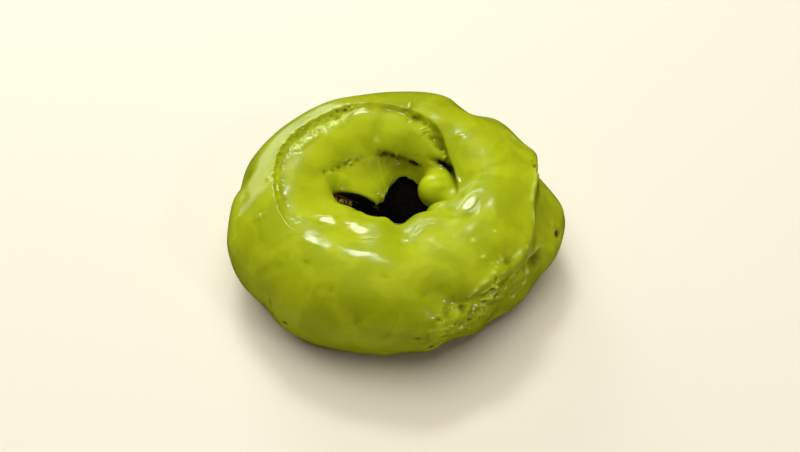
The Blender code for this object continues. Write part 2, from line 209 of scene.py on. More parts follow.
# Thin raised folds and grooves: width and stations of (around, tilt, rise)
FOLDS = (
    (0.32, ((3, 47, 0.25), (355, 57, 0.45), (346, 58, 0.48), (338, 52, 0.48), (333, 42, 0.45),
            (329, 33, 0.45), (322, 30, 0.40), (314, 31, 0.35), (309, 27, 0.20))),
    (0.36, ((296, 37, 0.15), (299, 42, 0.60), (303, 46, 0.60), (308, 49, 0.40), (312, 54, 0.0))),
    (0.34, ((301, 36, 0.40), (305, 38, 0.60), (307, 33, 0.60), (304, 28, 0.50), (300, 29, 0.35))),
    (0.30, ((302, 32, 0.30), (304, 35, 0.50), (306, 31, 0.50), (303, 30, 0.30))),
    (0.32, ((300, 22, 0.10), (303, 25, 0.50), (307, 22, 0.45), (309, 16, 0.20))),
    (0.32, ((294, 24, 0.10), (296, 28, 0.45), (293, 33, 0.45), (289, 34, 0.10))),
    (0.32, ((284, 8, 0.10), (288, 12, 0.45), (293, 9, 0.45), (297, 12, 0.10))),
    (0.32, ((278, 22, 0.10), (281, 18, 0.45), (280, 12, 0.45), (276, 8, 0.10))),
    (0.36, ((320, 38, 0.10), (317, 42, 0.45), (313, 44, 0.40), (309, 38, 0.35), (306, 40, 0.10))),
    (0.36, ((334, 24, 0.10), (330, 27, 0.45), (325, 24, 0.45), (323, 17, 0.40), (325, 10, 0.10))),
    (0.45, ((5, 49, 0.30), (359, 42, 0.28), (354, 35, 0.15), (350, 30, 0.0))),
    (0.45, ((5, 48, 0.30), (2, 40, 0.28), (359, 32, 0.12), (356, 26, 0.0))),
    (0.45, ((4, 51, 0.25), (355, 47, 0.22), (347, 41, 0.10), (342, 36, 0.0))),
    (0.22, ((283, 128, 0.0), (289, 132, 0.16), (297, 131, 0.14), (303, 127, 0.0))),
    (0.22, ((281, 124, 0.0), (290, 128, 0.14), (300, 127, 0.12), (307, 122, 0.0))),
    (0.50, ((231, 27, 0.0), (231, 18, 0.45), (232, 6, 0.45), (233, -8, 0.30), (234, -16, 0.0))),
    (0.50, ((226, 22, 0.0), (227, 10, -0.40), (228, -4, -0.35), (229, -14, 0.0))),
    (0.22, ((63, 111, 0.0), (64, 116, 0.35), (67, 122, 0.40), (71, 127, 0.20), (72, 130, 0.0))),
    (0.22, ((60, 114, 0.0), (62, 119, 0.30), (65, 125, 0.40), (68, 129, 0.25), (69, 132, 0.0))),
    (0.30, ((159, 87, 0.20), (158, 92, 0.50), (154, 97, 0.50), (147, 98, 0.50), (141, 98, 0.40),
            (137, 97, 0.10))),
    (0.30, ((133, 97, 0.10), (129, 102, 0.40), (124, 102, 0.40), (119, 100, 0.40), (115, 96, 0.35),
            (111, 92, 0.15))),
    (0.24, ((163, 122, 0.10), (165, 126, 0.35), (168, 132, 0.40), (172, 137, 0.35), (174, 141, 0.0))),
    (0.30, ((86, 176, 0.0), (95, 177, 0.20), (106, 178, 0.30), (128, 177, 0.30), (150, 177, 0.0))),
    (0.25, ((11, 140, 0.0), (6, 138, 0.20), (0, 138, 0.20), (-7, 139, 0.0))),
    (0.60, ((250, 12, 0.0), (257, 26, -0.22), (262, 38, -0.18), (265, 50, 0.0))),
    (0.60, ((263, 4, 0.0), (268, 18, -0.20), (271, 34, -0.20), (272, 48, 0.0))),
)

# Facets that each send the light of one window to the camera: around, tilt, length, width, turn, strength
GLINTS = {
    "upper_window": (
        (228, 87, 1.9, 1.1, 42, 1.0), (253, 95, 3.0, 1.0, 15, 1.0), (221, 117, 2.4, 2.0, 45, 1.0),
        (235, 128, 1.8, 0.5, 40, 0.8), (238, 117, 1.4, 0.45, 25, 0.5), (248, 117, 1.8, 0.50, 15, 0.7),
        (259, 121, 1.6, 0.45, 10, 0.8), (276, 118, 1.4, 0.8, 40, 0.7), (287, 127, 1.6, 0.8, 40, 0.6),
        (335, 119, 6.0, 2.5, 0, 0.95), (321, 79, 0.7, 0.7, 0, 1.0), (310, 86, 1.0, 0.7, 0, 0.9),
        (308, 67, 0.7, 0.7, 0, 1.0), (4, 138, 1.2, 0.45, 0, 1.0), (15, 158, 1.3, 1.1, 0, 0.5),
        (38, 108, 2.2, 0.45, 52, 1.0), (33, 117, 0.6, 0.6, 0, 1.0), (182, 78, 0.8, 1.3, 0, 0.9),
        (189, 84, 1.8, 0.6, 0, 1.0), (201, 61, 1.8, 0.5, -10, 0.9), (210, 89, 1.4, 0.6, 25, 0.9),
        (103, 137, 0.9, 0.6, 30, 1.0), (137, 149, 0.8, 0.6, 0, 0.9), (155, 95, 0.8, 0.7, 0, 1.0),
        (147, 96, 0.9, 0.6, 0, 1.0), (140, 96, 0.8, 0.6, 0, 1.0), (129, 102, 1.0, 0.7, 0, 1.0),
        (121, 98, 0.8, 0.6, 0, 0.9), (26, 53, 0.8, 0.7, 0, 0.9),
    ),
    "lower_window": (
        (326, 144, 1.4, 0.5, 0, 0.8), (79, 92, 0.6, 1.5, 0, 0.9), (40, 138, 0.45, 1.4, 0, 0.9),
    ),
    "front_lamp": (
        (314, 52, 0.9, 0.7, 0, 1.0), (324, 44, 1.2, 0.7, 0, 1.0), (304, 32, 1.3, 0.8, 60, 1.0),
        (303, 28, 1.0, 0.7, 30, 1.0), (307, 38, 1.4, 0.7, 50, 1.0), (301, 25, 1.0, 0.8, 0, 1.0),
        (297, 31, 0.9, 0.7, 20, 1.0), (291, 15, 0.9, 0.8, 0, 1.0), (286, 19, 0.9, 0.7, 0, 1.0),
        (281, 22, 0.9, 0.7, 30, 1.0), (276, 13, 0.9, 0.7, 0, 1.0), (320, 12, 1.0, 0.7, 0, 1.0),
        (314, 6, 0.8, 0.7, 0, 1.0), (323, 19, 0.9, 0.7, 0, 1.0), (345, 23, 0.9, 0.7, 0, 1.0),
        (310, 26, 0.9, 0.7, 30, 1.0), (298, 18, 0.8, 0.6, 0, 1.0), (294, 8, 0.8, 0.6, 0, 1.0),
        (285, 10, 0.9, 0.6, 0, 1.0), (289, 27, 0.8, 0.6, 20, 1.0),
    ),
}

# Steepest slope of a facet, and how strongly it keeps dull coating away
STEEPEST_GLINT = 1.3
GLINT_CLEARING = 2.4

# Narrow deep gaps: width and stations of (around, tilt, depth as a negative rise)
GAPS = (
    (0.75, ((50, 151, -0.3), (43, 150, -1.0), (37, 147, -1.8), (30, 148, -2.0), (23, 148, -1.3),
            (16, 148, -0.8), (9, 149, -0.4), (2, 152, -0.1))),
    (0.50, ((73, 165, -0.2), (69, 165, -0.7), (64, 166, -0.8), (59, 165, -0.3))),
    (0.40, ((11, 47, -0.3), (6, 46, -1.2), (2, 44, -1.3), (358, 40, -0.6), (355, 36, 0.0))),
)

# Round pits: around, tilt, radius, depth. Flat floor and wall as shares of the radius
PIT_FLOOR = 0.35
PIT_WALL = 0.9
PITS = (
    (75, 109, 0.7, 0.5), (79, 114, 0.6, 0.4), (67, 115, 0.6, 0.4), (46, 134, 0.8, 0.6), (56, 126, 0.9, 0.4),
    (98, 155, 1.0, 0.5), (90, 158, 0.9, 0.5), (82, 160, 0.8, 0.4), (68, 166, 0.9, 0.5), (137, 93, 0.9, 0.7),
    (130, 93, 0.7, 0.5), (117, 88, 0.8, 0.5), (150, 89, 0.7, 0.5), (144, 91, 0.6, 0.5), (123, 91, 0.7, 0.5),
    (155, 86, 0.5, 0.4), (141, 148, 0.7, 0.4), (150, 146, 0.6, 0.4), (158, 142, 0.6, 0.4),
    (165, 134, 0.6, 0.4), (343, 13, 0.95, 1.6), (284, 28, 0.5, 0.7), (294, 17, 0.5, 0.8),
    (298, 13, 0.5, 0.7), (296, 15, 0.4, 0.6), (289, 20, 0.4, 0.5), (294, 1, 0.8, 0.9), (281, 0, 0.6, 0.6),
    (312, 32, 0.6, 0.6), (208, 96, 0.4, 0.3), (213, 93, 0.4, 0.3), (200, 80, 0.4, 0.3), (5, 45, 0.8, 0.7),
)

# Crumbs under the coating, in patches: around from, to; tilt from, to; count; radius from, to. The bias
# makes most of them small, each is sunk by a share of its radius, and it is laid on the columns within so
# many radii
CRUMB_PATCHES = (
    (138, 158, 84, 95, 40, 0.34, 0.80), (113, 131, 84, 99, 38, 0.34, 0.80),
    (128, 140, 82, 94, 16, 0.30, 0.60), (66, 81, 104, 114, 10, 0.34, 0.62),
    (45, 62, 120, 133, 8, 0.40, 0.80), (80, 108, 149, 161, 16, 0.40, 0.85),
    (60, 74, 161, 168, 6, 0.36, 0.70), (122, 142, 146, 153, 12, 0.26, 0.50),
    (144, 168, 133, 145, 22, 0.24, 0.48), (203, 216, 80, 92, 12, 0.26, 0.50),
    (276, 306, 4, 27, 70, 0.30, 0.80), (294, 322, 18, 42, 48, 0.30, 0.76),
    (306, 326, 0, 20, 16, 0.30, 0.60), (4, 18, 36, 50, 14, 0.36, 0.70), (234, 246, -16, -4, 14, 0.32, 0.56),
    (262, 276, -8, 6, 14, 0.28, 0.52),
)
CRUMB_SEED = 41
CRUMB_BIAS = 1.6
CRUMB_SINK = 0.42
CRUMB_REACH = 1.2

# Crumbs strung along the crest of the crack: around from, to; count; radius from, to; tilt off the crest
CREST_CRUMBS = (158, 206, 26, 0.12, 0.26)
CREST_CRUMB_SEED = 42
CREST_CRUMB_TILT = (-2.0, 2.5)

# Places where the crust shows through: around, tilt, radius, and the share of it that is wholly bare
BARE_CORE = 0.4
BARE_SPOTS = (
    (343, 13, 0.9), (284, 28, 0.32), (285, 27, 0.25), (294, 17, 0.40), (295, 16, 0.25), (298, 13, 0.34),
    (289, 20, 0.28), (294, 1, 0.8), (281, 0, 0.6), (234, 0, 0.5), (5, 45, 0.6), (117, 87, 0.5),
    (114, 86, 0.35), (121, 84, 0.40), (125, 85, 0.3), (170, 80, 0.25), (158, 76, 0.3), (164, 77, 0.25),
    (180, 80, 0.22), (187, 82, 0.22), (292, 14, 0.22), (287, 18, 0.22), (299, 14, 0.25),
)

# Soft patches, each an around, tilt, length, width and strength, here of thin pale coating in the crack's
# pockets, and of painted highlights on small crumbs and folds and under the big glint
THIN_COAT_AND_HIGHLIGHT_SPOTS = (
    (156, 90, 2.2, 1.3, 0.9), (149, 91, 2.0, 1.2, 0.9), (143, 91, 1.2, 0.9, 0.7), (136, 92, 1.8, 1.2, 0.8),
    (127, 96, 2.0, 1.4, 0.9), (120, 96, 1.6, 1.1, 0.8), (226, 118, 1.2, 1.0, 0.4),
    (340, 118, 1.4, 0.8, 0.3), (26, 50, 0.9, 0.8, 0.8), (104, 139, 0.7, 0.5, 0.6),
    (140, 146, 0.7, 0.5, 0.6), (126, 150, 0.5, 0.5, 0.4), (162, 141, 0.5, 0.5, 0.4),
    (345, 23, 0.6, 0.5, 0.4), (328, 120, 4.5, 1.3, 0.35), (312, 115, 2.0, 1.1, 0.3),
    (321, 78, 0.35, 0.75, 0.9), (310, 86, 0.7, 0.6, 0.7), (308, 67, 0.6, 0.35, 0.7),
    (314, 52, 0.5, 0.6, 0.8), (323, 16, 0.9, 0.4, 0.8), (320, 9, 0.9, 0.5, 0.9), (314, 3, 0.7, 0.6, 0.9),
    (304, 32, 0.9, 0.4, 0.7), (301, 23, 0.7, 0.9, 0.7), (291, 32, 0.5, 0.7, 0.5), (291, 13, 0.8, 0.5, 0.8),
    (287, 19, 0.6, 0.4, 0.7), (282, 20, 0.4, 0.6, 0.5), (316, 32, 0.5, 0.5, 0.6), (343, 17, 0.7, 0.3, 0.6),
)

# Coating that set dull
DULL_SPOTS = (
    (86, 84, 9.0, 4.5, 1.0), (60, 88, 8.0, 5.0, 1.4), (32, 92, 9.0, 5.0, 1.4), (8, 98, 8.0, 4.5, 1.4),
    (350, 100, 6.0, 4.0, 1.3), (112, 130, 8.0, 5.0, 1.0), (140, 120, 6.0, 4.0, 1.0),
    (48, 98, 6.0, 4.0, 1.5), (30, 105, 7.0, 4.0, 1.5), (10, 110, 7.0, 4.0, 1.5), (355, 110, 5.0, 4.0, 1.4),
    (70, 100, 5.0, 3.0, 1.4), (240, 90, 1.8, 3.2, 1.4), (268, 98, 4.0, 3.0, 1.4), (212, 104, 4.0, 2.4, 1.3),
    (230, 104, 4.0, 1.8, 1.2), (286, 100, 5.0, 4.0, 1.5), (309, 107, 4.0, 3.0, 1.4),
    (299, 106, 4.0, 3.5, 1.5), (296, 117, 5.0, 3.0, 1.0), (12, 164, 4.5, 4.5, 0.7),
    (337, 106, 3.0, 2.0, 1.3), (228, 87, 3.5, 2.6, 1.4), (253, 95, 5.0, 2.4, 1.4), (220, 85, 3.5, 1.6, 1.4),
    (187, 42, 5.0, 4.0, 0.5), (264, 97, 2.0, 1.8, 1.4), (243, 91, 1.6, 1.8, 1.3),
)

# Painted light: patches of the coating made lighter where more light falls, on the crown, the tongue and
# the ball
PAINTED_LIGHT_SPOTS = (
    (120, 122, 10.0, 5.0, 0.5), (90, 130, 7.0, 5.0, 0.7), (150, 113, 6.0, 4.5, 0.2),
    (150, 168, 5.0, 4.0, 0.2), (116, 168, 5.0, 4.0, 0.2), (12, 164, 4.5, 4.5, 1.0),
    (26, 160, 3.5, 3.5, 0.8), (66, 140, 5.0, 4.0, 0.6),
)

# Thin painted lines of highlight and shade: width and stations of (around, tilt, strength)
# Painted highlights along the fold on the right, the crisp folds below it, the twin streaks, the dimple's
# rim and the tongue's edge
PALE_HIGHLIGHT_CRESTS = (
    (0.35, ((5, 49, 0.3), (359, 42, 0.2), (354, 35, 0.1))),
    (0.20, ((296, 37, 0.4), (299, 42, 0.9), (303, 46, 0.9), (308, 49, 0.6), (312, 54, 0.2))),
    (0.18, ((5, 48, 0.3), (355, 57, 0.5), (346, 58, 0.6), (338, 52, 0.7), (333, 42, 0.7),
            (329, 33, 0.7), (322, 30, 0.5), (314, 31, 0.2))),
    (0.20, ((301, 36, 0.5), (305, 38, 0.7), (307, 33, 0.7), (304, 28, 0.7), (300, 29, 0.4))),
    (0.22, ((309, 57, 0.3), (312, 54, 0.6), (314, 51, 0.3))),
    (0.24, ((319, 46, 0.4), (322, 46, 0.9), (326, 44, 0.5))),
    (0.30, ((64, 112, 0.2), (67, 121, 0.4), (70, 127, 0.2))),
    (0.40, ((335, 21, 0.2), (332, 27, 0.5), (328, 27, 0.4), (325, 23, 0.1))),
    (0.35, ((156, 177, 0.1), (128, 177, 0.4), (106, 178, 0.5), (95, 178, 0.4), (85, 177, 0.1))),
)

# Painted highlights along the fold on the right and the crisp folds below it
BRIGHT_HIGHLIGHT_CRESTS = (
    (0.24, ((5, 48, 0.5), (355, 57, 1.0), (346, 58, 1.0), (338, 52, 1.0), (333, 42, 1.0),
            (329, 33, 0.9), (322, 30, 0.6), (314, 31, 0.4))),
    (0.22, ((296, 37, 0.5), (299, 42, 1.0), (303, 46, 1.0), (308, 49, 0.8), (312, 54, 0.2))),
    (0.22, ((301, 36, 0.6), (305, 38, 0.9), (307, 33, 0.9), (304, 28, 0.8), (300, 29, 0.5))),
)

# Painted shadow, near black, in the narrow gaps beside the ball and in a pit under the step
GAP_SHADOWS = (
    (0.70, ((43, 151, 0.3), (38, 148, 0.9), (32, 148, 1.0), (26, 151, 0.8), (18, 152, 0.45),
            (10, 153, 0.2), (4, 154, 0.0))),
    (0.90, ((41, 149, 0.7), (37, 148, 1.0), (33, 149, 0.8))),
    (0.50, ((72, 165, 0.3), (68, 166, 0.8), (63, 166, 0.4))),
)

# Painted shade beside the fold on the right and beside the crumpled folds below it
SHADE_FOLDS = (
    (0.80, ((2, 42, 0.2), (353, 51, 0.5), (346, 52, 0.5), (338, 46, 0.5), (333, 36, 0.45), (330, 28, 0.3))),
    (0.50, ((318, 30, 0.4), (314, 36, 0.4), (308, 32, 0.4), (302, 34, 0.4), (298, 38, 0.2))),
    (0.50, ((300, 20, 0.4), (296, 24, 0.4), (291, 20, 0.4), (286, 24, 0.3))),
)

# Painted shade: dark olive in hollows, dents and under the step, beside folds, on the back top and the
# lower front, with a few darker patches of the coating itself on the front
SHADE_SPOTS = (
    (99, 155, 3.0, 1.3, 0.9), (91, 158, 2.6, 1.5, 0.8), (83, 162, 2.0, 1.2, 0.7), (104, 150, 1.4, 0.9, 0.6),
    (106, 161, 2.2, 1.2, 0.5), (118, 158, 3.0, 1.0, 0.35), (92, 98, 4.0, 1.6, 0.5),
    (81, 102, 3.0, 1.6, 0.6), (77, 158, 1.2, 1.2, 0.5), (68, 166, 1.8, 0.9, 0.9), (165, 134, 1.4, 0.6, 0.5),
    (158, 141, 1.4, 0.6, 0.5), (150, 145, 1.3, 0.7, 0.5), (141, 148, 1.3, 0.6, 0.5),
    (126, 152, 2.0, 0.8, 0.4), (55, 127, 2.0, 1.3, 0.7), (49, 132, 1.6, 1.2, 0.8), (74, 108, 2.2, 1.4, 0.7),
    (4, 175, 1.6, 1.6, 0.5), (160, 84, 3.0, 0.8, 0.4), (170, 86, 4.0, 0.8, 0.4), (180, 89, 4.0, 0.8, 0.4),
    (190, 90, 4.0, 0.8, 0.4), (218, 35, 4.0, 2.5, 0.25), (233, 65, 1.1, 0.5, 0.30),
    (247, 51, 1.5, 0.8, 0.25), (257, 32, 1.2, 2.0, 0.30), (266, 72, 0.9, 0.5, 0.30),
    (290, 41, 2.2, 1.6, 0.45), (287, 31, 1.2, 2.2, 0.45), (293, 30, 1.2, 1.6, 0.45),
    (315, 47, 2.4, 1.5, 0.5), (329, 17, 2.6, 2.0, 0.7), (97, 161, 5.0, 2.6, 0.75), (84, 166, 4.5, 2.4, 0.7),
    (122, 157, 3.0, 1.3, 0.4), (66, 168, 3.5, 1.6, 0.6), (112, 162, 4.0, 2.2, 0.6),
    (126, 161, 4.0, 2.0, 0.4), (103, 95, 3.0, 1.2, 0.3), (88, 72, 12.0, 6.0, 0.34),
    (60, 76, 10.0, 5.0, 0.32), (340, 85, 10.0, 6.0, 0.14), (348, 34, 9.0, 6.0, 0.40),
    (232, 36, 9.0, 5.0, 0.16), (252, 34, 12.0, 6.0, 0.26), (274, 34, 9.0, 6.0, 0.20),
    (290, 60, 8.0, 5.0, 0.08), (296, 22, 1.6, 1.0, 0.5), (304, 22, 1.4, 0.9, 0.5), (289, 8, 1.8, 1.0, 0.5),
    (280, 14, 1.2, 1.2, 0.4), (310, 32, 1.4, 1.0, 0.5), (322, 24, 1.6, 0.8, 0.5), (226, 22, 4.0, 2.2, 0.30),
    (243, 28, 3.5, 2.0, 0.25), (252, 60, 3.0, 1.6, 0.16), (271, 40, 3.5, 2.0, 0.28),
    (262, 50, 3.0, 1.8, 0.18), (235, 50, 3.0, 1.6, 0.16), (277, 58, 2.4, 1.6, 0.20),
    (208, 50, 3.0, 2.0, 0.18), (266, 18, 4.0, 2.0, 0.25),
)

# Crumbs too fine for the mesh
CRUMBLY_SPOTS = (
    (300, 30, 6.0, 4.0, 0.4), (288, 14, 6.0, 3.0, 0.5), (298, 18, 5.0, 3.0, 0.4), (312, 30, 5.0, 4.0, 0.4),
    (318, 16, 4.0, 4.0, 0.4), (282, 4, 6.0, 3.0, 0.6), (165, 78, 4.0, 0.8, 0.4), (178, 80, 4.0, 0.7, 0.4),
    (190, 82, 4.0, 0.7, 0.4), (206, 84, 3.0, 0.9, 0.4), (152, 90, 4.0, 2.0, 0.5), (141, 91, 4.0, 2.2, 0.5),
    (130, 91, 4.0, 2.4, 0.5), (118, 90, 4.0, 2.2, 0.4), (98, 155, 3.0, 1.4, 0.3), (86, 160, 3.0, 1.3, 0.3),
    (68, 166, 2.5, 1.2, 0.3), (162, 138, 4.0, 1.2, 0.3), (146, 147, 4.0, 1.2, 0.3),
    (71, 112, 3.0, 1.6, 0.3), (52, 130, 3.5, 1.6, 0.25), (2, 44, 2.5, 2.0, 0.5), (238, -8, 5.0, 2.5, 0.5),
)

# Painted shadow, near black, under the tongue: the tilt that it starts at, and how strong it is
UNDERSIDE_LINE = ((88, 183), (95, 184), (130, 184), (150, 182), (160, 179), (166, 172), (168, 167),
                  (171, 161), (174, 157), (177, 154), (180, 153), (186, 153), (192, 200))
UNDERSIDE_STRENGTH = ((86, 0.0), (94, 1.0), (181, 1.0), (186, 0.0))
UNDERSIDE_EDGE = 2.0

# Golden crumb low in the slit, its colour made very light as painted light falling on it from above: width
# and stations of (around, tilt, strength)
LIT_GOLDEN_CRUMB = (
    (0.75, ((177, 159, 0.7), (175, 162, 1.1), (173, 167, 1.3), (169, 175, 1.3), (166, 181, 1.2),
            (162, 186, 0.7))),
    (0.40, ((150, 190, 0.3), (130, 196, 0.5), (122, 205, 0.6), (116, 206, 0.3))),
)

# Foot of the dough under the tongue, a soft bump
FOOT_SWELLS = ((82, 207, 9.0, 4.0, 0, 1.3),)

# Painted shade on the crust low in the hole, dark inside this radius and darkening from one height to
# another
HOLE_RADIUS = 17.5
DEEP_FROM = 19.5
DEEP_TO = 14.0

# Depth of a hollow whose painted shade is full
HOLLOW_SHADE_DEPTH = 0.55

# Finish: share of the flecks, roughness of bare spots, and the sheen left where the coating set dull
FLECK_SHARE = 0.10
BARE_ROUGHNESS = 0.85
DULL_SHEEN = 0.3

# Camera: place in millimetres, turn in degrees, and the nearest that it sees, in metres
CAMERA_PLACE = (-1.15, -134.64, 163.88)
CAMERA_TURN = (40.418, 0.152, -1.047)
CLOSEST_VIEW = 0.01

# Lights: azimuth from +Y, elevation, width and height in degrees, brightness and colour, all at one
# distance in metres. The gloss mirrors the windows and the side glow, and not the ceiling
LIGHT_DISTANCE = 1.2
CEILING = (-25.0, 80.0, 60.0, 60.0, 2.45, (1.0, 0.96, 0.88))
SIDE_GLOW = (-34.0, 10.0, 40.0, 24.0, 1.7, (0.93, 1.0, 1.0))
AMBIENT_COLOUR = (1.0, 0.88, 0.70, 1.0)
AMBIENT_STRENGTH = 0.09
FLOOR_ROUGHNESS = 0.8
WINDOWS = (
    ("upper_window", -11.0, 52.0, 15.0, 8.0, 25.0, (0.95, 1.0, 0.96)),
    ("lower_window", -19.0, 27.0, 22.0, 12.0, 7.0, (0.93, 1.0, 0.98)),
    ("front_lamp", 125.0, 35.0, 4.0, 4.0, 45.0, (1.0, 1.0, 0.92)),
)


def along(stations, around):
    """Value at an angle around the ring, read off a closed line of (around, value) stations."""
    start = [angle % FULL_TURN for angle, _ in stations]
    order = np.argsort(start)
    places = np.array(start)[order]
    values = np.array([value for _, value in stations], dtype=float)[order]
    return np.interp(np.asarray(around) % FULL_TURN, places, values, period=FULL_TURN)


def eased_along(stations, around):
    """The same line with its corners eased over a few degrees."""
    return sum(along(stations, around + shift) for shift in EASING_SHIFTS) / len(EASING_SHIFTS)


def turn_between(around, centre):
    """Signed difference of two angles round the ring, from -180 to 180 degrees."""
    return (around - centre + 0.5 * FULL_TURN) % FULL_TURN - 0.5 * FULL_TURN


def ease(value):
    """Smooth rise from 0 to 1 as the value goes from 0 to 1."""
    value = np.clip(value, 0.0, 1.0)
    return value * value * (3.0 - 2.0 * value)


def hill(offset, spread):
    """Rounded hill of height 1 with the given spread."""
    return np.exp(-(offset / spread) ** 2)


def plateau(offset, spread):
    """The same with a flat top."""
    return np.exp(-(offset / spread) ** 4)


def place(around, tilt, reach):
    """Positions in millimetres from the two angles and the reach."""
    out = RING_RADIUS + reach * np.cos(np.radians(tilt))
    x = out * np.cos(np.radians(around)) + RING_CENTRE[0]
    y = out * np.sin(np.radians(around)) + RING_CENTRE[1]
    z = SECTION_HEIGHT + reach * np.sin(np.radians(tilt))
    return np.stack(np.broadcast_arrays(x, y, z), axis=-1)


def wander(around, seed, fewest, most):
    """Closed wavy line of about height 1 with from fewest to most waves round the ring."""
    draw = np.random.default_rng(seed)
    total = np.zeros_like(np.asarray(around, dtype=float))
    waves = draw.integers(fewest, most + 1, WAVES_IN_A_LINE)
    for wave in waves:
        total = total + np.sin(np.radians(around * wave) + draw.uniform(0.0, 2.0 * math.pi))
    return total * math.sqrt(2.0 / len(waves))


def ripple(points, length, seed):
    """Smooth random field of about height 1 whose swells are about one length apart."""
    draw = np.random.default_rng(seed)
    total = np.zeros(points.shape[:-1])
    for _ in range(SWELLS_IN_A_LAYER):
        way = draw.normal(size=3)
        way *= 2.0 * math.pi * draw.uniform(*LENGTH_SPREAD) / (length * np.linalg.norm(way))
        total += np.sin(points @ way + draw.uniform(0.0, 2.0 * math.pi))
    return total * math.sqrt(2.0 / SWELLS_IN_A_LAYER)


def random_relief(points, layers):
    """Sum of smooth random layers, each with its rise, length and seed."""
    return sum(rise * ripple(points, length, seed) for rise, length, seed in layers)


def solid_tree(node):
    """Search tree over a solid of the frame."""
    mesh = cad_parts[node].data
    corners = [vertex.co.copy() for vertex in mesh.vertices]
    return BVHTree.FromPolygons(corners, [tuple(face.vertices) for face in mesh.polygons])


def way_to(azimuth, elevation):
    """Unit vector towards a light."""
    turn = math.radians(azimuth)
    up = math.radians(elevation)
    return np.array((math.sin(turn) * math.cos(up), math.cos(turn) * math.cos(up), math.sin(up)))


def probe(tree, around, tilt):
    """Reach of a solid at a place, or nan where a ray fired in from outside meets nothing."""
    start = Vector(place(around, tilt, PROBE_REACH)) * MM
    middle = Vector(place(around, tilt, 0.0)) * MM
    found = tree.ray_cast(start, middle - start, (middle - start).length)
    if found[0] is None:
        return math.nan
    return (found[0] - middle).length / MM


def probe_all(tree):
    """Reach of a solid on a closed grid of places, by row and column."""
    grid = np.empty((PROBE_ROWS, PROBE_COLUMNS))
    for row in range(PROBE_ROWS):
        for column in range(PROBE_COLUMNS):
            around = FULL_TURN * column / PROBE_COLUMNS
            grid[row, column] = probe(tree, around, FULL_TURN * row / PROBE_ROWS)
    return grid


def spline_weights(part):
    """The four weights of a uniform cubic B-spline."""
    rest = 1.0 - part
    return (rest ** 3 / 6.0, (3.0 * part ** 3 - 6.0 * part ** 2 + 4.0) / 6.0,
            (3.0 * rest ** 3 - 6.0 * rest ** 2 + 4.0) / 6.0, part ** 3 / 6.0)


def read_grid(grid, around, tilt):
    """Reach read off a closed grid as a smooth surface, so that the solid's facets don't show."""
    rows, columns = grid.shape
    column = (np.asarray(around) % FULL_TURN) * columns / FULL_TURN
    row = (np.asarray(tilt) % FULL_TURN) * rows / FULL_TURN
    column, row = np.broadcast_arrays(column, row)
    first_column = np.floor(column).astype(int)
    first_row = np.floor(row).astype(int)
    total = np.zeros(column.shape)
    for across, weight_across in enumerate(spline_weights(column - first_column)):
        for up, weight_up in enumerate(spline_weights(row - first_row)):
            reach = grid[(first_row + up - 1) % rows, (first_column + across - 1) % columns]
            total += weight_across * weight_up * reach
    return total


def find_hem(tree, covered, bare):
    """Stations of a hem: where the coating stops between a covered and a bare tilt."""
    stations = []
    for column in range(PROBE_COLUMNS):
        around = FULL_TURN * column / PROBE_COLUMNS
        inside = covered
        outside = bare
        for _ in range(HEM_HALVINGS):
            middle = 0.5 * (inside + outside)
            if math.isnan(probe(tree, around, middle)):
                outside = middle
            else:
                inside = middle
        stations.append((around, inside))
    return stations


@lru_cache(maxsize=1)
def read_solids():
    """Smooth reach of both solids and the two hems of the coating."""
    crust_tree = solid_tree("dough_ring")
    coat_tree = solid_tree("matcha_coating")
    crust = probe_all(crust_tree)
    coat = probe_all(coat_tree)
    coat = np.where(np.isnan(coat), crust + COVERED_LIFT, coat)
    outer_hem = find_hem(coat_tree, *OUTER_HEM_SEARCH)
    inner_hem = find_hem(coat_tree, *INNER_HEM_SEARCH)
    return {"crust": crust, "coat": coat, "outer_hem": outer_hem, "inner_hem": inner_hem}


def closed_blur(field, passes):
    """Average of each place with its neighbours, closed round the ring and open at the hems."""
    for _ in range(passes):
        field = 0.5 * field + 0.25 * (np.roll(field, 1, axis=1) + np.roll(field, -1, axis=1))
        padded = np.concatenate((field[:1], field, field[-1:]))
        field = 0.5 * field + 0.25 * (padded[:-2] + padded[2:])
    return field


def closed_blur_vectors(vectors):
    """The same average for vectors, made unit again."""
    blurred = np.stack([closed_blur(vectors[..., axis], NORMAL_BLUR) for axis in range(3)], axis=-1)
    return blurred / np.maximum(np.linalg.norm(blurred, axis=-1, keepdims=True), TINY)


def grid_normals(points):
    """Outward unit normals of a band of points by row and column."""
    round_ring = np.roll(points, -1, axis=1) - np.roll(points, 1, axis=1)
    round_section = np.gradient(points, axis=0)
    normal = np.cross(round_ring, round_section)
    return normal / np.maximum(np.linalg.norm(normal, axis=-1, keepdims=True), TINY)


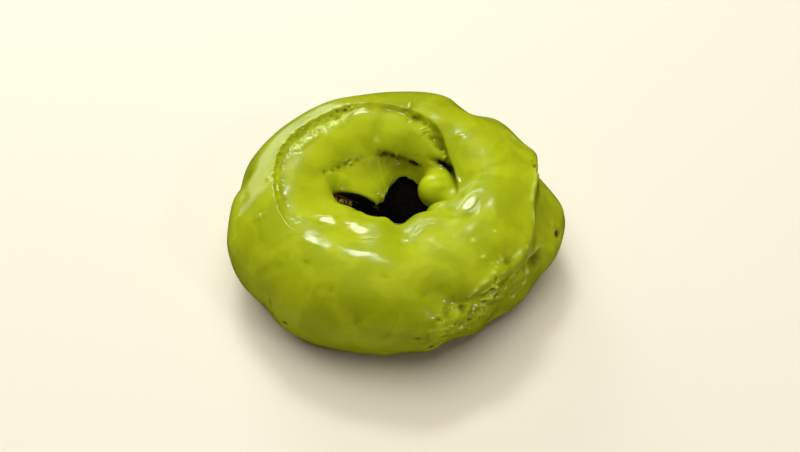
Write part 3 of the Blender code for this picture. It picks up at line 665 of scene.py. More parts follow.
class Band:
    """Points of a piece by row and column, with the places that they came from."""

    def __init__(self, around, tilt, reach):
        self.around = around
        self.tilt = tilt
        self.points = place(around[None, :], tilt, reach)
        self.rest = self.points.copy()
        self.height = np.zeros(tilt.shape)

    def columns_within(self, around, half):
        """Columns no further than half an angle from a place round the ring."""
        return np.flatnonzero(np.abs(turn_between(self.around, around)) <= half)

    def nearest(self, around, tilt):
        """Row and column of the point nearest to a place."""
        column = int(np.argmin(np.abs(turn_between(self.around, around))))
        return int(np.argmin(np.abs(self.tilt[:, column] - tilt))), column

    def spot(self, around, tilt):
        """Position of the point nearest to a place, before any sculpting."""
        return self.rest[self.nearest(around, tilt)]

    def ways(self, around, tilt):
        """Unit vectors round the ring and up the section at a place."""
        turn = math.radians(around)
        up = math.radians(tilt)
        round_ring = np.array((-math.sin(turn), math.cos(turn), 0.0))
        up_section = np.array((-math.sin(up) * math.cos(turn), -math.sin(up) * math.sin(turn),
                               math.cos(up)))
        return round_ring, up_section

    def long_and_wide(self, around, tilt, turn):
        """Unit vectors along and across a mark that is turned by an angle on the surface."""
        round_ring, up_section = self.ways(around, tilt)
        angle = math.radians(turn)
        long_way = round_ring * math.cos(angle) + up_section * math.sin(angle)
        wide_way = up_section * math.cos(angle) - round_ring * math.sin(angle)
        return long_way, wide_way

    def lift(self, amount):
        """Move the points out along their normals."""
        self.points = self.points + grid_normals(self.points) * amount[..., None]
        self.height = self.height + amount


def square_of(offset):
    """Squared length of each vector."""
    return np.einsum("ijk,ijk->ij", offset, offset)


def near_mark(offset, length, width):
    """Where a mark of this length and width still counts."""
    return square_of(offset) < (RELIEF_REACH * max(length, width)) ** 2


def swell_relief(band, swells):
    """Sum of long rounded bumps and hollows."""
    total = np.zeros(band.tilt.shape)
    for around, tilt, length, width, turn, rise in swells:
        offset = band.rest - band.spot(around, tilt)
        long_way, wide_way = band.long_and_wide(around, tilt, turn)
        shape = hill(offset @ long_way, length) * hill(offset @ wide_way, width)
        total += rise * shape * near_mark(offset, length, width)
    return total


def glint_relief(band, glints, to_window):
    """Flat facets turned halfway between the camera and a window."""
    total = np.zeros(band.tilt.shape)
    normals = closed_blur_vectors(grid_normals(band.points))
    for around, tilt, length, width, turn, strength in glints:
        spot = band.nearest(around, tilt)
        to_camera = np.array(CAMERA_PLACE) - band.points[spot]
        aim = to_camera / np.linalg.norm(to_camera) + to_window
        slope = normals[spot] - aim / (aim @ normals[spot])
        steepness = np.linalg.norm(slope)
        slope = slope * min(1.0, STEEPEST_GLINT / max(steepness, TINY))
        offset = band.rest - band.rest[spot]
        long_way, wide_way = band.long_and_wide(around, tilt, turn)
        near = near_mark(offset, length, width)
        shape = plateau(offset @ long_way, length) * plateau(offset @ wide_way, width) * near
        flat = 0.5 * (offset @ band.ways(around, tilt)[1]) ** 2 / SECTION_RADIUS
        total += strength * shape * (offset @ slope + flat)
    return total


def fold_relief(band, folds):
    """Thin crests and grooves that follow lines over the surface."""
    total = np.zeros(band.tilt.shape)
    for width, stations in folds:
        spots = [band.spot(around, tilt) for around, tilt, _ in stations]
        rises = [rise for _, _, rise in stations]
        nearest = np.full(band.tilt.shape, np.inf)
        rise_there = np.zeros(band.tilt.shape)
        for start, end, first, last in zip(spots[:-1], spots[1:], rises[:-1], rises[1:]):
            way = end - start
            part = np.clip(((band.rest - start) @ way) / max(way @ way, TINY), 0.0, 1.0)
            distance = np.sqrt(square_of(band.rest - start - part[..., None] * way))
            closer = distance < nearest
            nearest = np.where(closer, distance, nearest)
            rise_there = np.where(closer, first + (last - first) * part, rise_there)
        total += rise_there * hill(nearest, width)
    return total


def pit_relief(band, pits):
    """Round pits with a flat floor."""
    total = np.zeros(band.tilt.shape)
    for around, tilt, radius, depth in pits:
        distance = np.sqrt(square_of(band.rest - band.spot(around, tilt)))
        total -= depth * (1.0 - ease((distance / radius - PIT_FLOOR) / PIT_WALL))
    return total


def bead_relief(band, beads):
    """Height of the highest of many round crumbs, each partly sunk in the surface."""
    total = np.zeros(band.tilt.shape)
    for around, tilt, radius in beads:
        middle = band.spot(around, tilt)
        ring = max(math.hypot(middle[0] - RING_CENTRE[0], middle[1] - RING_CENTRE[1]), 1.0)
        near = band.columns_within(around, CRUMB_REACH * math.degrees(radius / ring))
        square = square_of(band.rest[:, near] - middle)
        cap = np.sqrt(np.maximum(radius ** 2 - square, 0.0)) - CRUMB_SINK * radius
        total[:, near] = np.maximum(total[:, near], cap)
    return total


def scattered_crumbs():
    """Crumbs drawn at random in their patches, most of them small."""
    draw = np.random.default_rng(CRUMB_SEED)
    crumbs = []
    for start, end, low, high, count, smallest, largest in CRUMB_PATCHES:
        for _ in range(count):
            radius = smallest + (largest - smallest) * draw.uniform() ** CRUMB_BIAS
            crumbs.append((draw.uniform(start, end), draw.uniform(low, high), radius))
    return crumbs


def crest_crumbs():
    """Small crumbs strung along the crest of the crack."""
    draw = np.random.default_rng(CREST_CRUMB_SEED)
    start, end, count, smallest, largest = CREST_CRUMBS
    crumbs = []
    for _ in range(count):
        around = draw.uniform(start, end)
        tilt = float(lip_line(around)) + draw.uniform(*CREST_CRUMB_TILT)
        crumbs.append((around, tilt, draw.uniform(smallest, largest)))
    return crumbs


def lip_line(around):
    """Tilt of the crack's lip with its small wobble."""
    wobble = CREST_WOBBLE * wander(around, *CREST_WAVES) * along(CREST_STRENGTH, around)
    return eased_along(LIP_LINE, around) + wobble


def ridge_line(around):
    """Tilt of the fold on the right and of the shoulder elsewhere."""
    return eased_along(RIDGE_LINE, around)


def surface_distance(tilt, line):
    """Millimetres over the surface from a line round the ring, positive towards the hole."""
    return np.radians(tilt - line) * SECTION_RADIUS


def coating_rows(around, solids):
    """Tilts of the coating's rows in each column, close together along the hems, crack and step."""
    outer = along(solids["outer_hem"], around) + OUTER_HEM_WANDER * wander(around, *OUTER_HEM_WAVES)
    inner = along(solids["inner_hem"], around) + INNER_HEM_WANDER * wander(around, *INNER_HEM_WAVES)
    lip = eased_along(LIP_LINE, around)
    step = np.maximum(eased_along(STEP_LINE, around), lip + LEAST_GAP)
    inner = np.maximum(inner, step + LEAST_GAP)
    stops = (outer, outer + HEM_SPAN, ridge_line(around), lip - LIP_SPAN[0], lip + LIP_SPAN[1],
             step - STEP_SPAN[0], step + STEP_SPAN[1], inner - HEM_SPAN, inner)
    counts = (ROWS_AT_HEM, ROWS_ON_FLANK, ROWS_TO_LIP, ROWS_IN_CRACK, ROWS_ON_CROWN, ROWS_ON_STEP,
              ROWS_IN_HOLE, ROWS_AT_HEM)
    rows = [outer]
    for low, high, count in zip(stops[:-1], stops[1:], counts):
        for number in range(1, count + 1):
            rows.append(low + (high - low) * number / count)
    return np.array(rows)


def ball_reach(around, tilt):
    """Reach of the far side of the ball, falling steeply away beside it."""
    turn, up = np.radians(around), np.radians(tilt)
    way = (np.cos(up) * np.cos(turn), np.cos(up) * np.sin(turn), np.sin(up))
    start = (RING_RADIUS * np.cos(turn), RING_RADIUS * np.sin(turn), SECTION_HEIGHT)
    gap = [middle - first for middle, first in zip(BALL_MIDDLE, start)]
    nearest = sum(step * part for step, part in zip(gap, way))
    miss = np.sqrt(sum(step * step for step in gap) - nearest ** 2)
    cap = np.sqrt(np.maximum(BALL_RADIUS ** 2 - miss ** 2, 0.0))
    fall = BALL_FALL * np.maximum(miss - BALL_RADIUS, 0.0)
    on_this_side = (nearest > 0.0) & (nearest < RING_RADIUS)
    return np.where(on_this_side, nearest + cap - fall, 0.0)


def crest_relief(around, tilt):
    """Crisp scalloped crest of the crack and the undercut just behind it."""
    past = surface_distance(tilt, lip_line(around))
    strength = along(CREST_STRENGTH, around)
    scallop = 1.0 + CREST_SCALLOP * wander(around, *SCALLOP_WAVES)
    crest = CREST_RISE * scallop * hill(past + CREST_SHIFT, CREST_WIDTH)
    wall = WALL_DROP * ease(past / WALL_WIDTH) * (1.0 - ease((past - WALL_WIDTH) / WALL_FADE))
    return strength * (crest - wall)


def hem_roll(band_tilt, under, reach, edge):
    """How far the coating rolls in towards the crust at its two hems."""
    to_outer = np.radians(band_tilt - band_tilt[0]) * reach
    to_inner = np.radians(band_tilt[-1] - band_tilt) * reach
    near = np.clip(np.minimum(to_outer, to_inner) / edge, 0.0, 1.0)
    roll = 1.0 - np.sqrt(np.clip(1.0 - (1.0 - near) ** 2, 0.0, 1.0))
    return roll * (reach - under + HEM_TUCK)


def fade_at_hems(tilt):
    """0 at the hems and 1 further in."""
    to_outer = np.radians(tilt - tilt[0]) * SECTION_RADIUS
    to_inner = np.radians(tilt[-1] - tilt) * SECTION_RADIUS
    return ease(np.minimum(to_outer, to_inner) / HEM_FADE)


def add_ring(name, columns, rows):
    """Closed ring: a circle turned once round the hole, its vertices in rows within each column."""
    bpy.ops.object.select_all(action="DESELECT")
    bpy.ops.mesh.primitive_circle_add(vertices=rows, radius=SECTION_RADIUS * MM,
                                      location=(RING_RADIUS * MM, 0.0, SECTION_HEIGHT * MM),
                                      rotation=(0.5 * math.pi, 0.0, 0.0))
    ring = bpy.context.object
    ring.name = name
    ring.data.name = name
    bpy.ops.object.transform_apply(location=True, rotation=True, scale=True)
    turn = ring.modifiers.new("turn", "SCREW")
    turn.axis = "Z"
    turn.angle = 2.0 * math.pi
    turn.steps = columns
    turn.render_steps = columns
    turn.use_merge_vertices = True
    turn.merge_threshold = 0.01 * MM
    bpy.ops.object.modifier_apply(modifier=turn.name)
    return ring


def shape_ring(ring, points):
    """Lay the ring on points by row and column, face it outwards and shade it smooth."""
    by_column = np.transpose(points, (1, 0, 2)) * MM
    ring.data.vertices.foreach_set("co", by_column.astype(np.float32).ravel())
    ring.data.update()
    bpy.ops.object.mode_set(mode="EDIT")
    bpy.ops.mesh.select_all(action="SELECT")
    bpy.ops.mesh.normals_make_consistent(inside=False)
    bpy.ops.mesh.select_all(action="DESELECT")
    bpy.ops.object.mode_set(mode="OBJECT")
    bpy.ops.object.shade_smooth()
    return ring


def add_mask(ring, name, field):
    """Store a value from 0 to 1 for every vertex."""
    mask = ring.data.attributes.new(name, "FLOAT", "POINT")
    mask.data.foreach_set("value", np.clip(field.T, 0.0, 1.0).astype(np.float32).ravel())


def sculpt_coating(band):
    """Raise the bumps, folds, pits and crumbs of the coating."""
    inside = fade_at_hems(band.tilt)
    broad = random_relief(band.rest, COATING_SWELLS)
    band.lift((swell_relief(band, FINE_SWELLS) + broad) * inside)
    beads = bead_relief(band, scattered_crumbs() + crest_crumbs())
    small = closed_blur(pit_relief(band, PITS) + beads, SMALL_BLUR)
    band.lift((small + fold_relief(band, FOLDS) + fold_relief(band, GAPS)) * inside)
    for name, azimuth, elevation, *_ in WINDOWS:
        band.lift(glint_relief(band, GLINTS[name], way_to(azimuth, elevation)) * inside)
    band.points = keep_in_box(band.points)


def soft_limit(value, limit):
    """The value, eased so that it never passes the limit."""
    return limit - BOX_EASE * np.logaddexp(0.0, (limit - value) / BOX_EASE)


def keep_in_box(points):
    """Points eased back so that they stay inside the box of the solids."""
    low, high = (np.array(corner) / MM for corner in CAD_BOX)
    return -soft_limit(-soft_limit(points, high), -low)


def bare_mask(band):
    """1 where the crust shows through the coating."""
    total = np.zeros(band.tilt.shape)
    for around, tilt, radius in BARE_SPOTS:
        distance = np.sqrt(square_of(band.rest - band.spot(around, tilt)))
        total = np.maximum(total, 1.0 - ease(distance / radius - BARE_CORE))
    return total


def patch_mask(band, patches):
    """The strength of each long soft patch in its middle, fading outwards."""
    total = np.zeros(band.tilt.shape)
    for around, tilt, length, width, strength in patches:
        offset = band.rest - band.spot(around, tilt)
        round_ring, up_section = band.ways(around, tilt)
        near = hill(np.linalg.norm(offset, axis=-1), PATCH_REACH * length)
        shape = hill(offset @ round_ring, length) * hill(offset @ up_section, width) * near
        total = np.maximum(total, strength * shape)
    return total


def dull_mask(band):
    """1 where the coating set dull, but not at the glints."""
    glints = [(*glint[:4], GLINT_CLEARING) for name in GLINTS for glint in GLINTS[name]]
    return patch_mask(band, DULL_SPOTS) * (1.0 - np.minimum(patch_mask(band, glints), 1.0))


def tongue_shadow_mask(band):
    """1 where a near-black shadow is painted under the tongue."""
    past = band.tilt - along(UNDERSIDE_LINE, band.around)
    return ease(past / UNDERSIDE_EDGE) * along(UNDERSIDE_STRENGTH, band.around)


def hole_shade_mask(band):
    """1 where shade is painted on the crust low in the hole, where hardly any light falls."""
    out = np.hypot(band.points[..., 0] - RING_CENTRE[0], band.points[..., 1] - RING_CENTRE[1])
    low = ease((DEEP_FROM - band.points[..., 2]) / (DEEP_FROM - DEEP_TO))
    return low * (out < HOLE_RADIUS)


def hollow_shade_mask(band):
    """1 where shade is painted in the deepest hollows between crumbs."""
    hollow = closed_blur(band.height, HOLLOW_SHADE_BLUR) - band.height
    return ease(hollow / HOLLOW_SHADE_DEPTH)


def crowded_columns(count):
    """Angles of the columns, closer together where the coating is busy."""
    fine = np.linspace(0.0, FULL_TURN, COLUMN_STEPS * count + 1)
    passed = np.concatenate(([0.0], np.cumsum(along(COLUMN_CROWDING, fine[:-1]))))
    return np.interp(np.arange(count) * passed[-1] / count, passed, fine)


def coating_band(solids, columns, edge):
    """Sculpted outside of the coating as rows and columns."""
    around = crowded_columns(columns)
    tilt = coating_rows(around, solids)
    reach = read_grid(solids["coat"], around[None, :], tilt) + crest_relief(around[None, :], tilt)
    ball = ball_reach(around[None, :], tilt)
    reach = BALL_EASE * np.logaddexp(reach / BALL_EASE, ball / BALL_EASE)
    under = read_grid(solids["crust"], around[None, :], tilt)
    reach -= hem_roll(tilt, under, reach, edge)
    band = Band(around, tilt, reach)
    sculpt_coating(band)
    return band


def crust_band(solids, settings):
    """Craggy outside of the crust, its rows close together between the hems and few under the coating."""
    around = np.arange(settings.columns) * FULL_TURN / settings.columns
    first = along(solids["inner_hem"], around) - CRUST_OVERLAP
    last = along(solids["outer_hem"], around) + CRUST_OVERLAP + FULL_TURN
    rows = [first + (last - first) * number / settings.bare_rows
            for number in range(settings.bare_rows)]
    rows += [last + (first + FULL_TURN - last) * number / settings.covered_rows
             for number in range(settings.covered_rows)]
    tilt = np.array(rows)
    band = Band(around, tilt, read_grid(solids["crust"], around[None, :], tilt))
    open_rows = np.zeros(tilt.shape)
    open_rows[:settings.bare_rows] = 1.0
    crag = np.minimum(random_relief(band.rest, CRUST_CRAGS) - CRAG_DROP, CRAG_LIMIT)
    band.lift(crag * closed_blur(open_rows, CRUST_BLUR) + swell_relief(band, FOOT_SWELLS))
    band.points[..., 2] = np.maximum(band.points[..., 2], 0.0)
    return band


def coating_masks(band):
    """Every mask of the coating by name."""
    return {
        "bare": bare_mask(band),
        "hollow_shade": hollow_shade_mask(band),
        # Thin pale coating with painted highlights, painted light, painted shade in patches and hollows,
        # painted shadow under the tongue and in gaps, and the golden crumb made light as painted light
        "pale": patch_mask(band, THIN_COAT_AND_HIGHLIGHT_SPOTS) + fold_relief(band, PALE_HIGHLIGHT_CRESTS),
        "painted_light": patch_mask(band, PAINTED_LIGHT_SPOTS) + fold_relief(band, BRIGHT_HIGHLIGHT_CRESTS),
        "shade": patch_mask(band, SHADE_SPOTS) + fold_relief(band, SHADE_FOLDS),
        "dull": dull_mask(band),
        "crumbly": patch_mask(band, CRUMBLY_SPOTS),
        "painted_shadow": tongue_shadow_mask(band) + fold_relief(band, GAP_SHADOWS),
        "golden": fold_relief(band, LIT_GOLDEN_CRUMB),
    }


def inside_of_coating(band, solids):
    """Plain rows just under the crust that close the coating from hem to hem."""
    rows = []
    for number in range(ROWS_INSIDE):
        part = (number + 0.5) / ROWS_INSIDE
        tilt = band.tilt[-1] + (band.tilt[0] - band.tilt[-1]) * part
        reach = read_grid(solids["crust"], band.around, tilt) - INSIDE_DEPTH
        rows.append(place(band.around, tilt, reach))
    return np.array(rows)


def shader_of(finish):
    """Principled shader of a material."""
    return finish.node_tree.nodes["Principled BSDF"]


def new_material(name):
    """Material with a Principled shader."""
    finish = bpy.data.materials.new(name)
    finish.use_nodes = True
    return finish


def mask_of(tree, name):
    """Socket of a mask that is stored on the mesh."""
    return add_node(tree, "ShaderNodeAttribute", attribute_name=name).outputs["Fac"]


def object_place(tree):
    """Socket of the place on the object."""
    return tree.nodes.new("ShaderNodeTexCoord").outputs["Object"]


def add_node(tree, kind, **values):
    """Shader node with some of its inputs and options set."""
    node = tree.nodes.new(kind)
    for key, value in values.items():
        if key in node.inputs:
            node.inputs[key].default_value = value
        else:
            setattr(node, key, value)
    return node


def patch_group():
    """Shader group: soft uneven patches, as a mask from 0 to 1."""
    group = bpy.data.node_groups.new("uneven_patches", "ShaderNodeTree")
    group.interface.new_socket("Scale", in_out="INPUT", socket_type="NodeSocketFloat")
    group.interface.new_socket("Contrast", in_out="INPUT", socket_type="NodeSocketFloat")
    group.interface.new_socket("Mask", in_out="OUTPUT", socket_type="NodeSocketFloat")
    start = group.nodes.new("NodeGroupInput")
    end = group.nodes.new("NodeGroupOutput")
    broad = add_node(group, "ShaderNodeTexNoise", Detail=4.0, Roughness=0.55, Distortion=0.6)
    spread = add_node(group, "ShaderNodeMapRange", interpolation_type="SMOOTHSTEP")
    half = add_node(group, "ShaderNodeMath", operation="MULTIPLY")
    half.inputs[1].default_value = 0.5
    low = add_node(group, "ShaderNodeMath", operation="SUBTRACT")
    low.inputs[0].default_value = 0.5
    high = add_node(group, "ShaderNodeMath", operation="ADD")
    high.inputs[0].default_value = 0.5
    link = group.links.new
    link(object_place(group), broad.inputs["Vector"])
    link(start.outputs["Scale"], broad.inputs["Scale"])
    link(start.outputs["Contrast"], half.inputs[0])
    link(half.outputs[0], low.inputs[1])
    link(half.outputs[0], high.inputs[1])
    link(broad.outputs["Fac"], spread.inputs["Value"])
    link(low.outputs[0], spread.inputs["From Min"])
    link(high.outputs[0], spread.inputs["From Max"])
    link(spread.outputs["Result"], end.inputs["Mask"])
    return group


def place_group(tree, group, **values):
    """Put a shader group in a material with its own values."""
    node = tree.nodes.new("ShaderNodeGroup")
    node.node_tree = group
    for key, value in values.items():
        node.inputs[key].default_value = value
    return node


def mix_colours(tree, mask, first, second):
    """Mix two colours, each a value or a socket, by a mask."""
    mix = tree.nodes.new("ShaderNodeMix")
    mix.data_type = "RGBA"
    tree.links.new(mask, mix.inputs["Factor"])
    sockets = [socket for socket in mix.inputs if socket.type == "RGBA"]
    for socket, colour in zip(sockets, (first, second)):
        if isinstance(colour, bpy.types.NodeSocket):
            tree.links.new(colour, socket)
        else:
            socket.default_value = tuple(colour)
    return [socket for socket in mix.outputs if socket.type == "RGBA"][0]


def add_crumb(tree, patches, colour, lit_crumb_colour):
    """Lay a broken crumb colour over another where the golden mask asks for it; the crumb colour is made
    very light as painted light falling on it.
    """
    crumbs = place_group(tree, patches, Scale=1100.0, Contrast=0.20)
    broken = add_node(tree, "ShaderNodeMath", operation="MULTIPLY", use_clamp=True)
    tree.links.new(mask_of(tree, "golden"), broken.inputs[0])
    tree.links.new(crumbs.outputs["Mask"], broken.inputs[1])
    return mix_colours(tree, broken.outputs[0], colour, lit_crumb_colour)


def faded(tree, mask, value, value_there):
    """Socket of a value that fades to another where a mask is 1."""
    fade = add_node(tree, "ShaderNodeMapRange")
    fade.inputs["To Min"].default_value = value
    fade.inputs["To Max"].default_value = value_there
    tree.links.new(mask_of(tree, mask), fade.inputs["Value"])
    return fade.outputs["Result"]


def coating_colour(tree, settings, patches):
    """Uneven yellow green with painted light and painted highlights, painted shade and shadow in hollows,
    under the tongue and in gaps, and brown where crust shows.
    """
    tone = place_group(tree, patches, Scale=95.0, Contrast=0.20)
    fleck = place_group(tree, patches, Scale=420.0, Contrast=0.5)
    faint = add_node(tree, "ShaderNodeMath", operation="MULTIPLY")
    tree.links.new(fleck.outputs["Mask"], faint.inputs[0])
    faint.inputs[1].default_value = FLECK_SHARE
    colour = mix_colours(tree, tone.outputs["Mask"], settings.main_colour, settings.light_colour)
    colour = mix_colours(tree, faint.outputs[0], colour, settings.deep_colour)
    # Painted light and highlights, thin pale coating with painted highlights, painted shade in patches and
    # hollows, bare crust, and near-black painted shadow under the tongue and in gaps, in this order
    over = {
        "painted_light": settings.painted_light_colour,
        "pale": settings.thin_coat_and_highlight_colour,
        "shade": settings.painted_shade_colour,
        "hollow_shade": settings.painted_shade_colour,
        "bare": settings.bare_colour,
        "painted_shadow": settings.painted_shadow_colour,
    }
    for mask, colour_there in over.items():
        colour = mix_colours(tree, mask_of(tree, mask), colour, colour_there)
    return add_crumb(tree, patches, colour, settings.lit_crumb_colour)


def coating_bumps(tree):
    """A faintly uneven skin, and crumbs too fine for the mesh under it."""
    skin = add_node(tree, "ShaderNodeTexNoise", Scale=330.0, Detail=2.0, Roughness=0.4)
    bump = add_node(tree, "ShaderNodeBump", Strength=0.10, Distance=0.00020)
    tree.links.new(object_place(tree), skin.inputs["Vector"])
    tree.links.new(skin.outputs["Fac"], bump.inputs["Height"])
    grains = add_node(tree, "ShaderNodeTexVoronoi", feature="SMOOTH_F1", Scale=620.0, Smoothness=0.30)
    grain_bump = add_node(tree, "ShaderNodeBump", invert=True, Distance=0.00080)
    tree.links.new(object_place(tree), grains.inputs["Vector"])
    tree.links.new(grains.outputs["Distance"], grain_bump.inputs["Height"])
    tree.links.new(mask_of(tree, "crumbly"), grain_bump.inputs["Strength"])
    tree.links.new(bump.outputs["Normal"], grain_bump.inputs["Normal"])
    return grain_bump.outputs["Normal"]


def coating_material(settings, patches):
    """Glossy matcha chocolate, dull in places."""
    finish = new_material("matcha_coating")
    tree = finish.node_tree
    shader = shader_of(finish)
    sheen = settings.specular
    sockets = {
        "Base Color": coating_colour(tree, settings, patches),
        "Roughness": faded(tree, "bare", settings.roughness, BARE_ROUGHNESS),
        "Coat Weight": faded(tree, "dull", settings.coat, 0.0),
        "Specular IOR Level": faded(tree, "dull", sheen, DULL_SHEEN * sheen),
        "Normal": coating_bumps(tree),
    }
    for name, socket in sockets.items():
        tree.links.new(socket, shader.inputs[name])
    tree.links.new(sockets["Normal"], shader.inputs["Coat Normal"])
    shader.inputs["Coat Roughness"].default_value = 0.14
    shader.inputs["Subsurface Weight"].default_value = 0.15
    shader.inputs["Subsurface Radius"].default_value = (0.7, 1.0, 0.15)
    shader.inputs["Subsurface Scale"].default_value = 0.0012
    return finish


def crust_material(settings, patches):
    """Dry fried crust: golden brown with dark patches, painted shade low in the hole, a crumb made light as
    painted light, and fine pores.
    """
    finish = new_material("fried_crust")
    tree = finish.node_tree
    shader = shader_of(finish)
    broad = place_group(tree, patches, Scale=110.0, Contrast=0.35)
    fleck = place_group(tree, patches, Scale=900.0, Contrast=0.25)
    colour = mix_colours(tree, broad.outputs["Mask"], settings.brown_colour, settings.golden_colour)
    colour = mix_colours(tree, fleck.outputs["Mask"], settings.dark_colour, colour)
    # Painted shade, near black, on the crust low in the hole
    colour = mix_colours(tree, mask_of(tree, "deep"), colour, settings.deep_colour)
    colour = add_crumb(tree, patches, colour, settings.lit_crumb_colour)
    tree.links.new(colour, shader.inputs["Base Color"])
    pores = add_node(tree, "ShaderNodeTexVoronoi", Scale=1300.0)
    bump = add_node(tree, "ShaderNodeBump", Strength=0.6, Distance=0.0003)
    tree.links.new(object_place(tree), pores.inputs["Vector"])
    tree.links.new(pores.outputs["Distance"], bump.inputs["Height"])
    tree.links.new(bump.outputs["Normal"], shader.inputs["Normal"])
    shader.inputs["Roughness"].default_value = 0.72
    shader.inputs["Specular IOR Level"].default_value = 0.15
    return finish


def shared_patches():
    """The patch group, made once."""
    return bpy.data.node_groups.get("uneven_patches") or patch_group()


class CoatingSettings(bpy.types.PropertyGroup):
    """Sizes and colours of the matcha coating."""

    columns: IntProperty(name="Columns", description="Mesh columns round the ring", default=520, min=64)
    edge: FloatProperty(name="Hem edge", description="Rounding of the coating's hems", default=0.0011,
                        unit="LENGTH", subtype="DISTANCE")
    roughness: FloatProperty(name="Roughness", description="Roughness of the coating under its gloss",
                             default=0.30, min=0.0, max=1.0)
    coat: FloatProperty(name="Gloss", description="Strength of the clear gloss over the coating",
                        default=0.50, min=0.0, max=1.0)
    specular: FloatProperty(name="Sheen", description="Strength of the soft sheen under the gloss",
                            default=0.14, min=0.0, max=1.0)
    main_colour: FloatVectorProperty(name="Matcha", description="Main colour of the coating", size=4,
                                     subtype="COLOR", default=(0.350, 0.422, 0.006, 1.0))
    light_colour: FloatVectorProperty(name="Light matcha", description="Colour of the lighter patches",
                                      size=4, subtype="COLOR", default=(0.435, 0.510, 0.009, 1.0))
    # Painted light on lit patches, and painted highlights on crests
    painted_light_colour: FloatVectorProperty(name="Bright matcha", description="Colour of the thick coating",
                                       size=4, subtype="COLOR", default=(0.54, 0.65, 0.012, 1.0))
    # Thin pale coating in the crack's pockets, and painted highlights on crumbs, folds and crests
    thin_coat_and_highlight_colour: FloatVectorProperty(name="Pale matcha", description="Thin coating over air",
                                     size=4, subtype="COLOR", default=(0.64, 0.79, 0.17, 1.0))
    deep_colour: FloatVectorProperty(name="Deep matcha", description="Colour of the darker flecks",
                                     size=4, subtype="COLOR", default=(0.22, 0.25, 0.002, 1.0))
    # Painted shade in hollows, dents and beside folds, and on the back top and the lower front
    painted_shade_colour: FloatVectorProperty(name="Crevice", description="Colour between the crumbs",
                                        size=4, subtype="COLOR", default=(0.15, 0.16, 0.003, 1.0))
    bare_colour: FloatVectorProperty(name="Bare spot", description="Crust seen through the coating",
                                     size=4, subtype="COLOR", default=(0.075, 0.035, 0.008, 1.0))
    # Painted shadow, near black, under the tongue and in the narrow gaps
    painted_shadow_colour: FloatVectorProperty(name="Underside", description="Dark crumb under the tongue",
                                          size=4, subtype="COLOR", default=(0.010, 0.008, 0.006, 1.0))
    # A real golden crumb, its colour made very light as painted light falling on it
    lit_crumb_colour: FloatVectorProperty(name="Golden crumb", description="Torn crumb in the slit", size=4,
                                      subtype="COLOR", default=(0.95, 0.60, 0.15, 1.0))


class CrustSettings(bpy.types.PropertyGroup):
    """Sizes and colours of the fried crust."""

    columns: IntProperty(name="Columns", description="Mesh columns round the ring", default=440, min=64)
    covered_rows: IntProperty(name="Covered rows", description="Rows under the coating", default=40)
    bare_rows: IntProperty(name="Bare rows", description="Rows between the hems", default=110)
    brown_colour: FloatVectorProperty(name="Brown", description="Main colour of the crust", size=4,
                                      subtype="COLOR", default=(0.27, 0.115, 0.032, 1.0))
    golden_colour: FloatVectorProperty(name="Golden", description="Paler patches of the crust", size=4,
                                       subtype="COLOR", default=(0.45, 0.235, 0.070, 1.0))
    dark_colour: FloatVectorProperty(name="Dark", description="Dark flecks of the crust", size=4,
                                     subtype="COLOR", default=(0.10, 0.038, 0.012, 1.0))
    # Painted shade, near black, on the crust low in the hole
    deep_colour: FloatVectorProperty(name="Deep", description="Dark crust low in the hole", size=4,
                                     subtype="COLOR", default=(0.006, 0.005, 0.004, 1.0))
    # A real golden crumb, its colour made very light as painted light falling on it
    lit_crumb_colour: FloatVectorProperty(name="Golden crumb", description="Torn crumb in the slit", size=4,
                                      subtype="COLOR", default=(0.95, 0.54, 0.12, 1.0))


class StageSettings(bpy.types.PropertyGroup):
    """Floor, lights and camera."""

    floor_size: FloatProperty(name="Floor", description="Side of the floor", default=4.0,
                              unit="LENGTH", subtype="DISTANCE")
    floor_colour: FloatVectorProperty(name="Floor colour", description="Pale floor", size=4,
                                      subtype="COLOR", default=(0.87, 0.82, 0.71, 1.0))
    camera_place: FloatVectorProperty(name="Camera place", description="Position of the camera", size=3,
                                      subtype="TRANSLATION",
                                      default=[value * MM for value in CAMERA_PLACE])
    camera_turn: FloatVectorProperty(name="Camera turn", description="Rotation of the camera", size=3,
                                     subtype="EULER",
                                     default=[math.radians(angle) for angle in CAMERA_TURN])
    lens: FloatProperty(name="Lens", description="Focal length in millimetres", default=31.849)


class DOUGHNUT_OT_crust(bpy.types.Operator):
    """Lay a fried crust with craggy relief over the solid of the dough"""

    bl_idname = "doughnut.crust"
    bl_label = "Fried crust"

    def execute(self, context):
        settings = context.scene.doughnut_crust
        band = crust_band(read_solids(), settings)
        ring = add_ring("crust_ring", settings.columns, band.tilt.shape[0])
        shape_ring(ring, band.points)
        # Painted shade low in the hole
        add_mask(ring, "deep", hole_shade_mask(band))
        # Golden crumb, its colour made light as painted light falling on it
        add_mask(ring, "golden", fold_relief(band, LIT_GOLDEN_CRUMB))
        ring.data.materials.append(crust_material(settings, shared_patches()))
        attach(ring, "root")
        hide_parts("dough_ring")
        return {"FINISHED"}


class DOUGHNUT_OT_coating(bpy.types.Operator):
    """Lay the glossy matcha coating over the solid of the coating and sculpt its crack and crumbs"""

    bl_idname = "doughnut.coating"
    bl_label = "Matcha coating"

    def execute(self, context):
        settings = context.scene.doughnut_coating
        solids = read_solids()
        band = coating_band(solids, settings.columns, settings.edge / MM)
        points = np.concatenate((band.points, inside_of_coating(band, solids)))
        ring = add_ring("glossy_coating", settings.columns, points.shape[0])
        shape_ring(ring, points)
        spare = np.zeros((ROWS_INSIDE, settings.columns))
        for name, mask in coating_masks(band).items():
            add_mask(ring, name, np.concatenate((mask, spare)))
        ring.data.materials.append(coating_material(settings, shared_patches()))
        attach(ring, "root")
        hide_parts("matcha_coating")
        return {"FINISHED"}


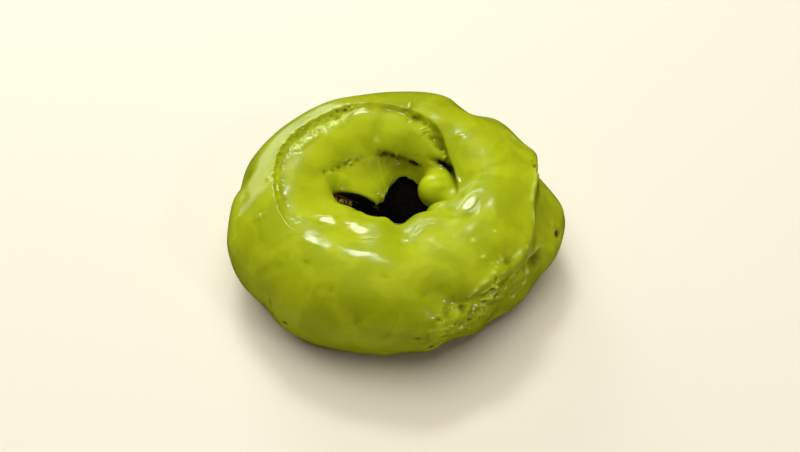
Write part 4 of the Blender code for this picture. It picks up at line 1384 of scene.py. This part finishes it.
def add_softbox(name, azimuth, elevation, width, height, brightness, colour, glossy=True):
    """Rectangular light aimed at the doughnut from an azimuth, positive to the right, and elevation."""
    spot = Vector(way_to(azimuth, elevation)) * LIGHT_DISTANCE
    bpy.ops.object.light_add(type="AREA", location=spot)
    light = bpy.context.object
    light.name = name
    light.data.shape = "RECTANGLE"
    light.data.size = 2.0 * LIGHT_DISTANCE * math.tan(math.radians(0.5 * width))
    light.data.size_y = 2.0 * LIGHT_DISTANCE * math.tan(math.radians(0.5 * height))
    light.data.energy = brightness * math.pi * light.data.size * light.data.size_y
    light.data.color = colour
    light.rotation_euler = (-spot).to_track_quat("-Z", "Y").to_euler()
    light.visible_camera = False
    light.visible_glossy = glossy
    return light


def add_floor(settings):
    """Plain pale floor that the gloss doesn't mirror."""
    bpy.ops.mesh.primitive_plane_add(size=settings.floor_size)
    floor = bpy.context.object
    floor.name = "pale_floor"
    finish = new_material("pale_floor")
    shader_of(finish).inputs["Base Color"].default_value = tuple(settings.floor_colour)
    shader_of(finish).inputs["Roughness"].default_value = FLOOR_ROUGHNESS
    floor.data.materials.append(finish)
    floor.visible_glossy = False
    return floor


def soft_world():
    """Dim even light from all round, which the gloss doesn't mirror."""
    world = bpy.data.worlds.new("soft_world")
    bpy.context.scene.world = world
    world.use_nodes = True
    back = world.node_tree.nodes["Background"]
    back.inputs["Color"].default_value = AMBIENT_COLOUR
    back.inputs["Strength"].default_value = AMBIENT_STRENGTH
    world.cycles_visibility.glossy = False
    return world


class DOUGHNUT_OT_stage(bpy.types.Operator):
    """Set a pale floor, soft window-like light from behind and the camera"""

    bl_idname = "doughnut.stage"
    bl_label = "Stage"

    def execute(self, context):
        settings = context.scene.doughnut_stage
        bpy.ops.object.select_all(action="DESELECT")
        add_floor(settings)
        add_softbox("ceiling", *CEILING, glossy=False)
        for window in WINDOWS:
            add_softbox(*window)
        add_softbox("side_glow", *SIDE_GLOW)
        soft_world()
        bpy.ops.object.camera_add(location=settings.camera_place, rotation=settings.camera_turn)
        camera = bpy.context.object
        camera.data.lens = settings.lens
        camera.data.clip_start = CLOSEST_VIEW
        context.scene.camera = camera
        context.scene.view_settings.view_transform = "Standard"
        return {"FINISHED"}


class DOUGHNUT_PT_panel(bpy.types.Panel):
    """Buttons for each piece of the doughnut"""

    bl_label = "Matcha Ring Doughnut"
    bl_idname = "DOUGHNUT_PT_panel"
    bl_space_type = "VIEW_3D"
    bl_region_type = "UI"
    bl_category = "Doughnut"

    def draw(self, context):
        for kind in OPERATORS:
            self.layout.operator(kind.bl_idname)
        for name in SETTINGS:
            group = getattr(context.scene, name)
            box = self.layout.box()
            for key in group.__annotations__:
                box.prop(group, key)


SETTINGS = {
    "doughnut_crust": CrustSettings,
    "doughnut_coating": CoatingSettings,
    "doughnut_stage": StageSettings,
}
OPERATORS = (DOUGHNUT_OT_crust, DOUGHNUT_OT_coating, DOUGHNUT_OT_stage)
CLASSES = (*SETTINGS.values(), *OPERATORS, DOUGHNUT_PT_panel)


def register():
    """Register the classes and hang the settings on the scene."""
    for kind in CLASSES:
        bpy.utils.register_class(kind)
    for name, kind in SETTINGS.items():
        setattr(bpy.types.Scene, name, PointerProperty(type=kind))


def unregister():
    """Take the settings and the classes away again."""
    for name in SETTINGS:
        delattr(bpy.types.Scene, name)
    for kind in reversed(CLASSES):
        bpy.utils.unregister_class(kind)


def main():
    """Build every piece in order."""
    register()
    bpy.ops.doughnut.crust()
    bpy.ops.doughnut.coating()
    bpy.ops.doughnut.stage()


if __name__ == "__main__":
    main()
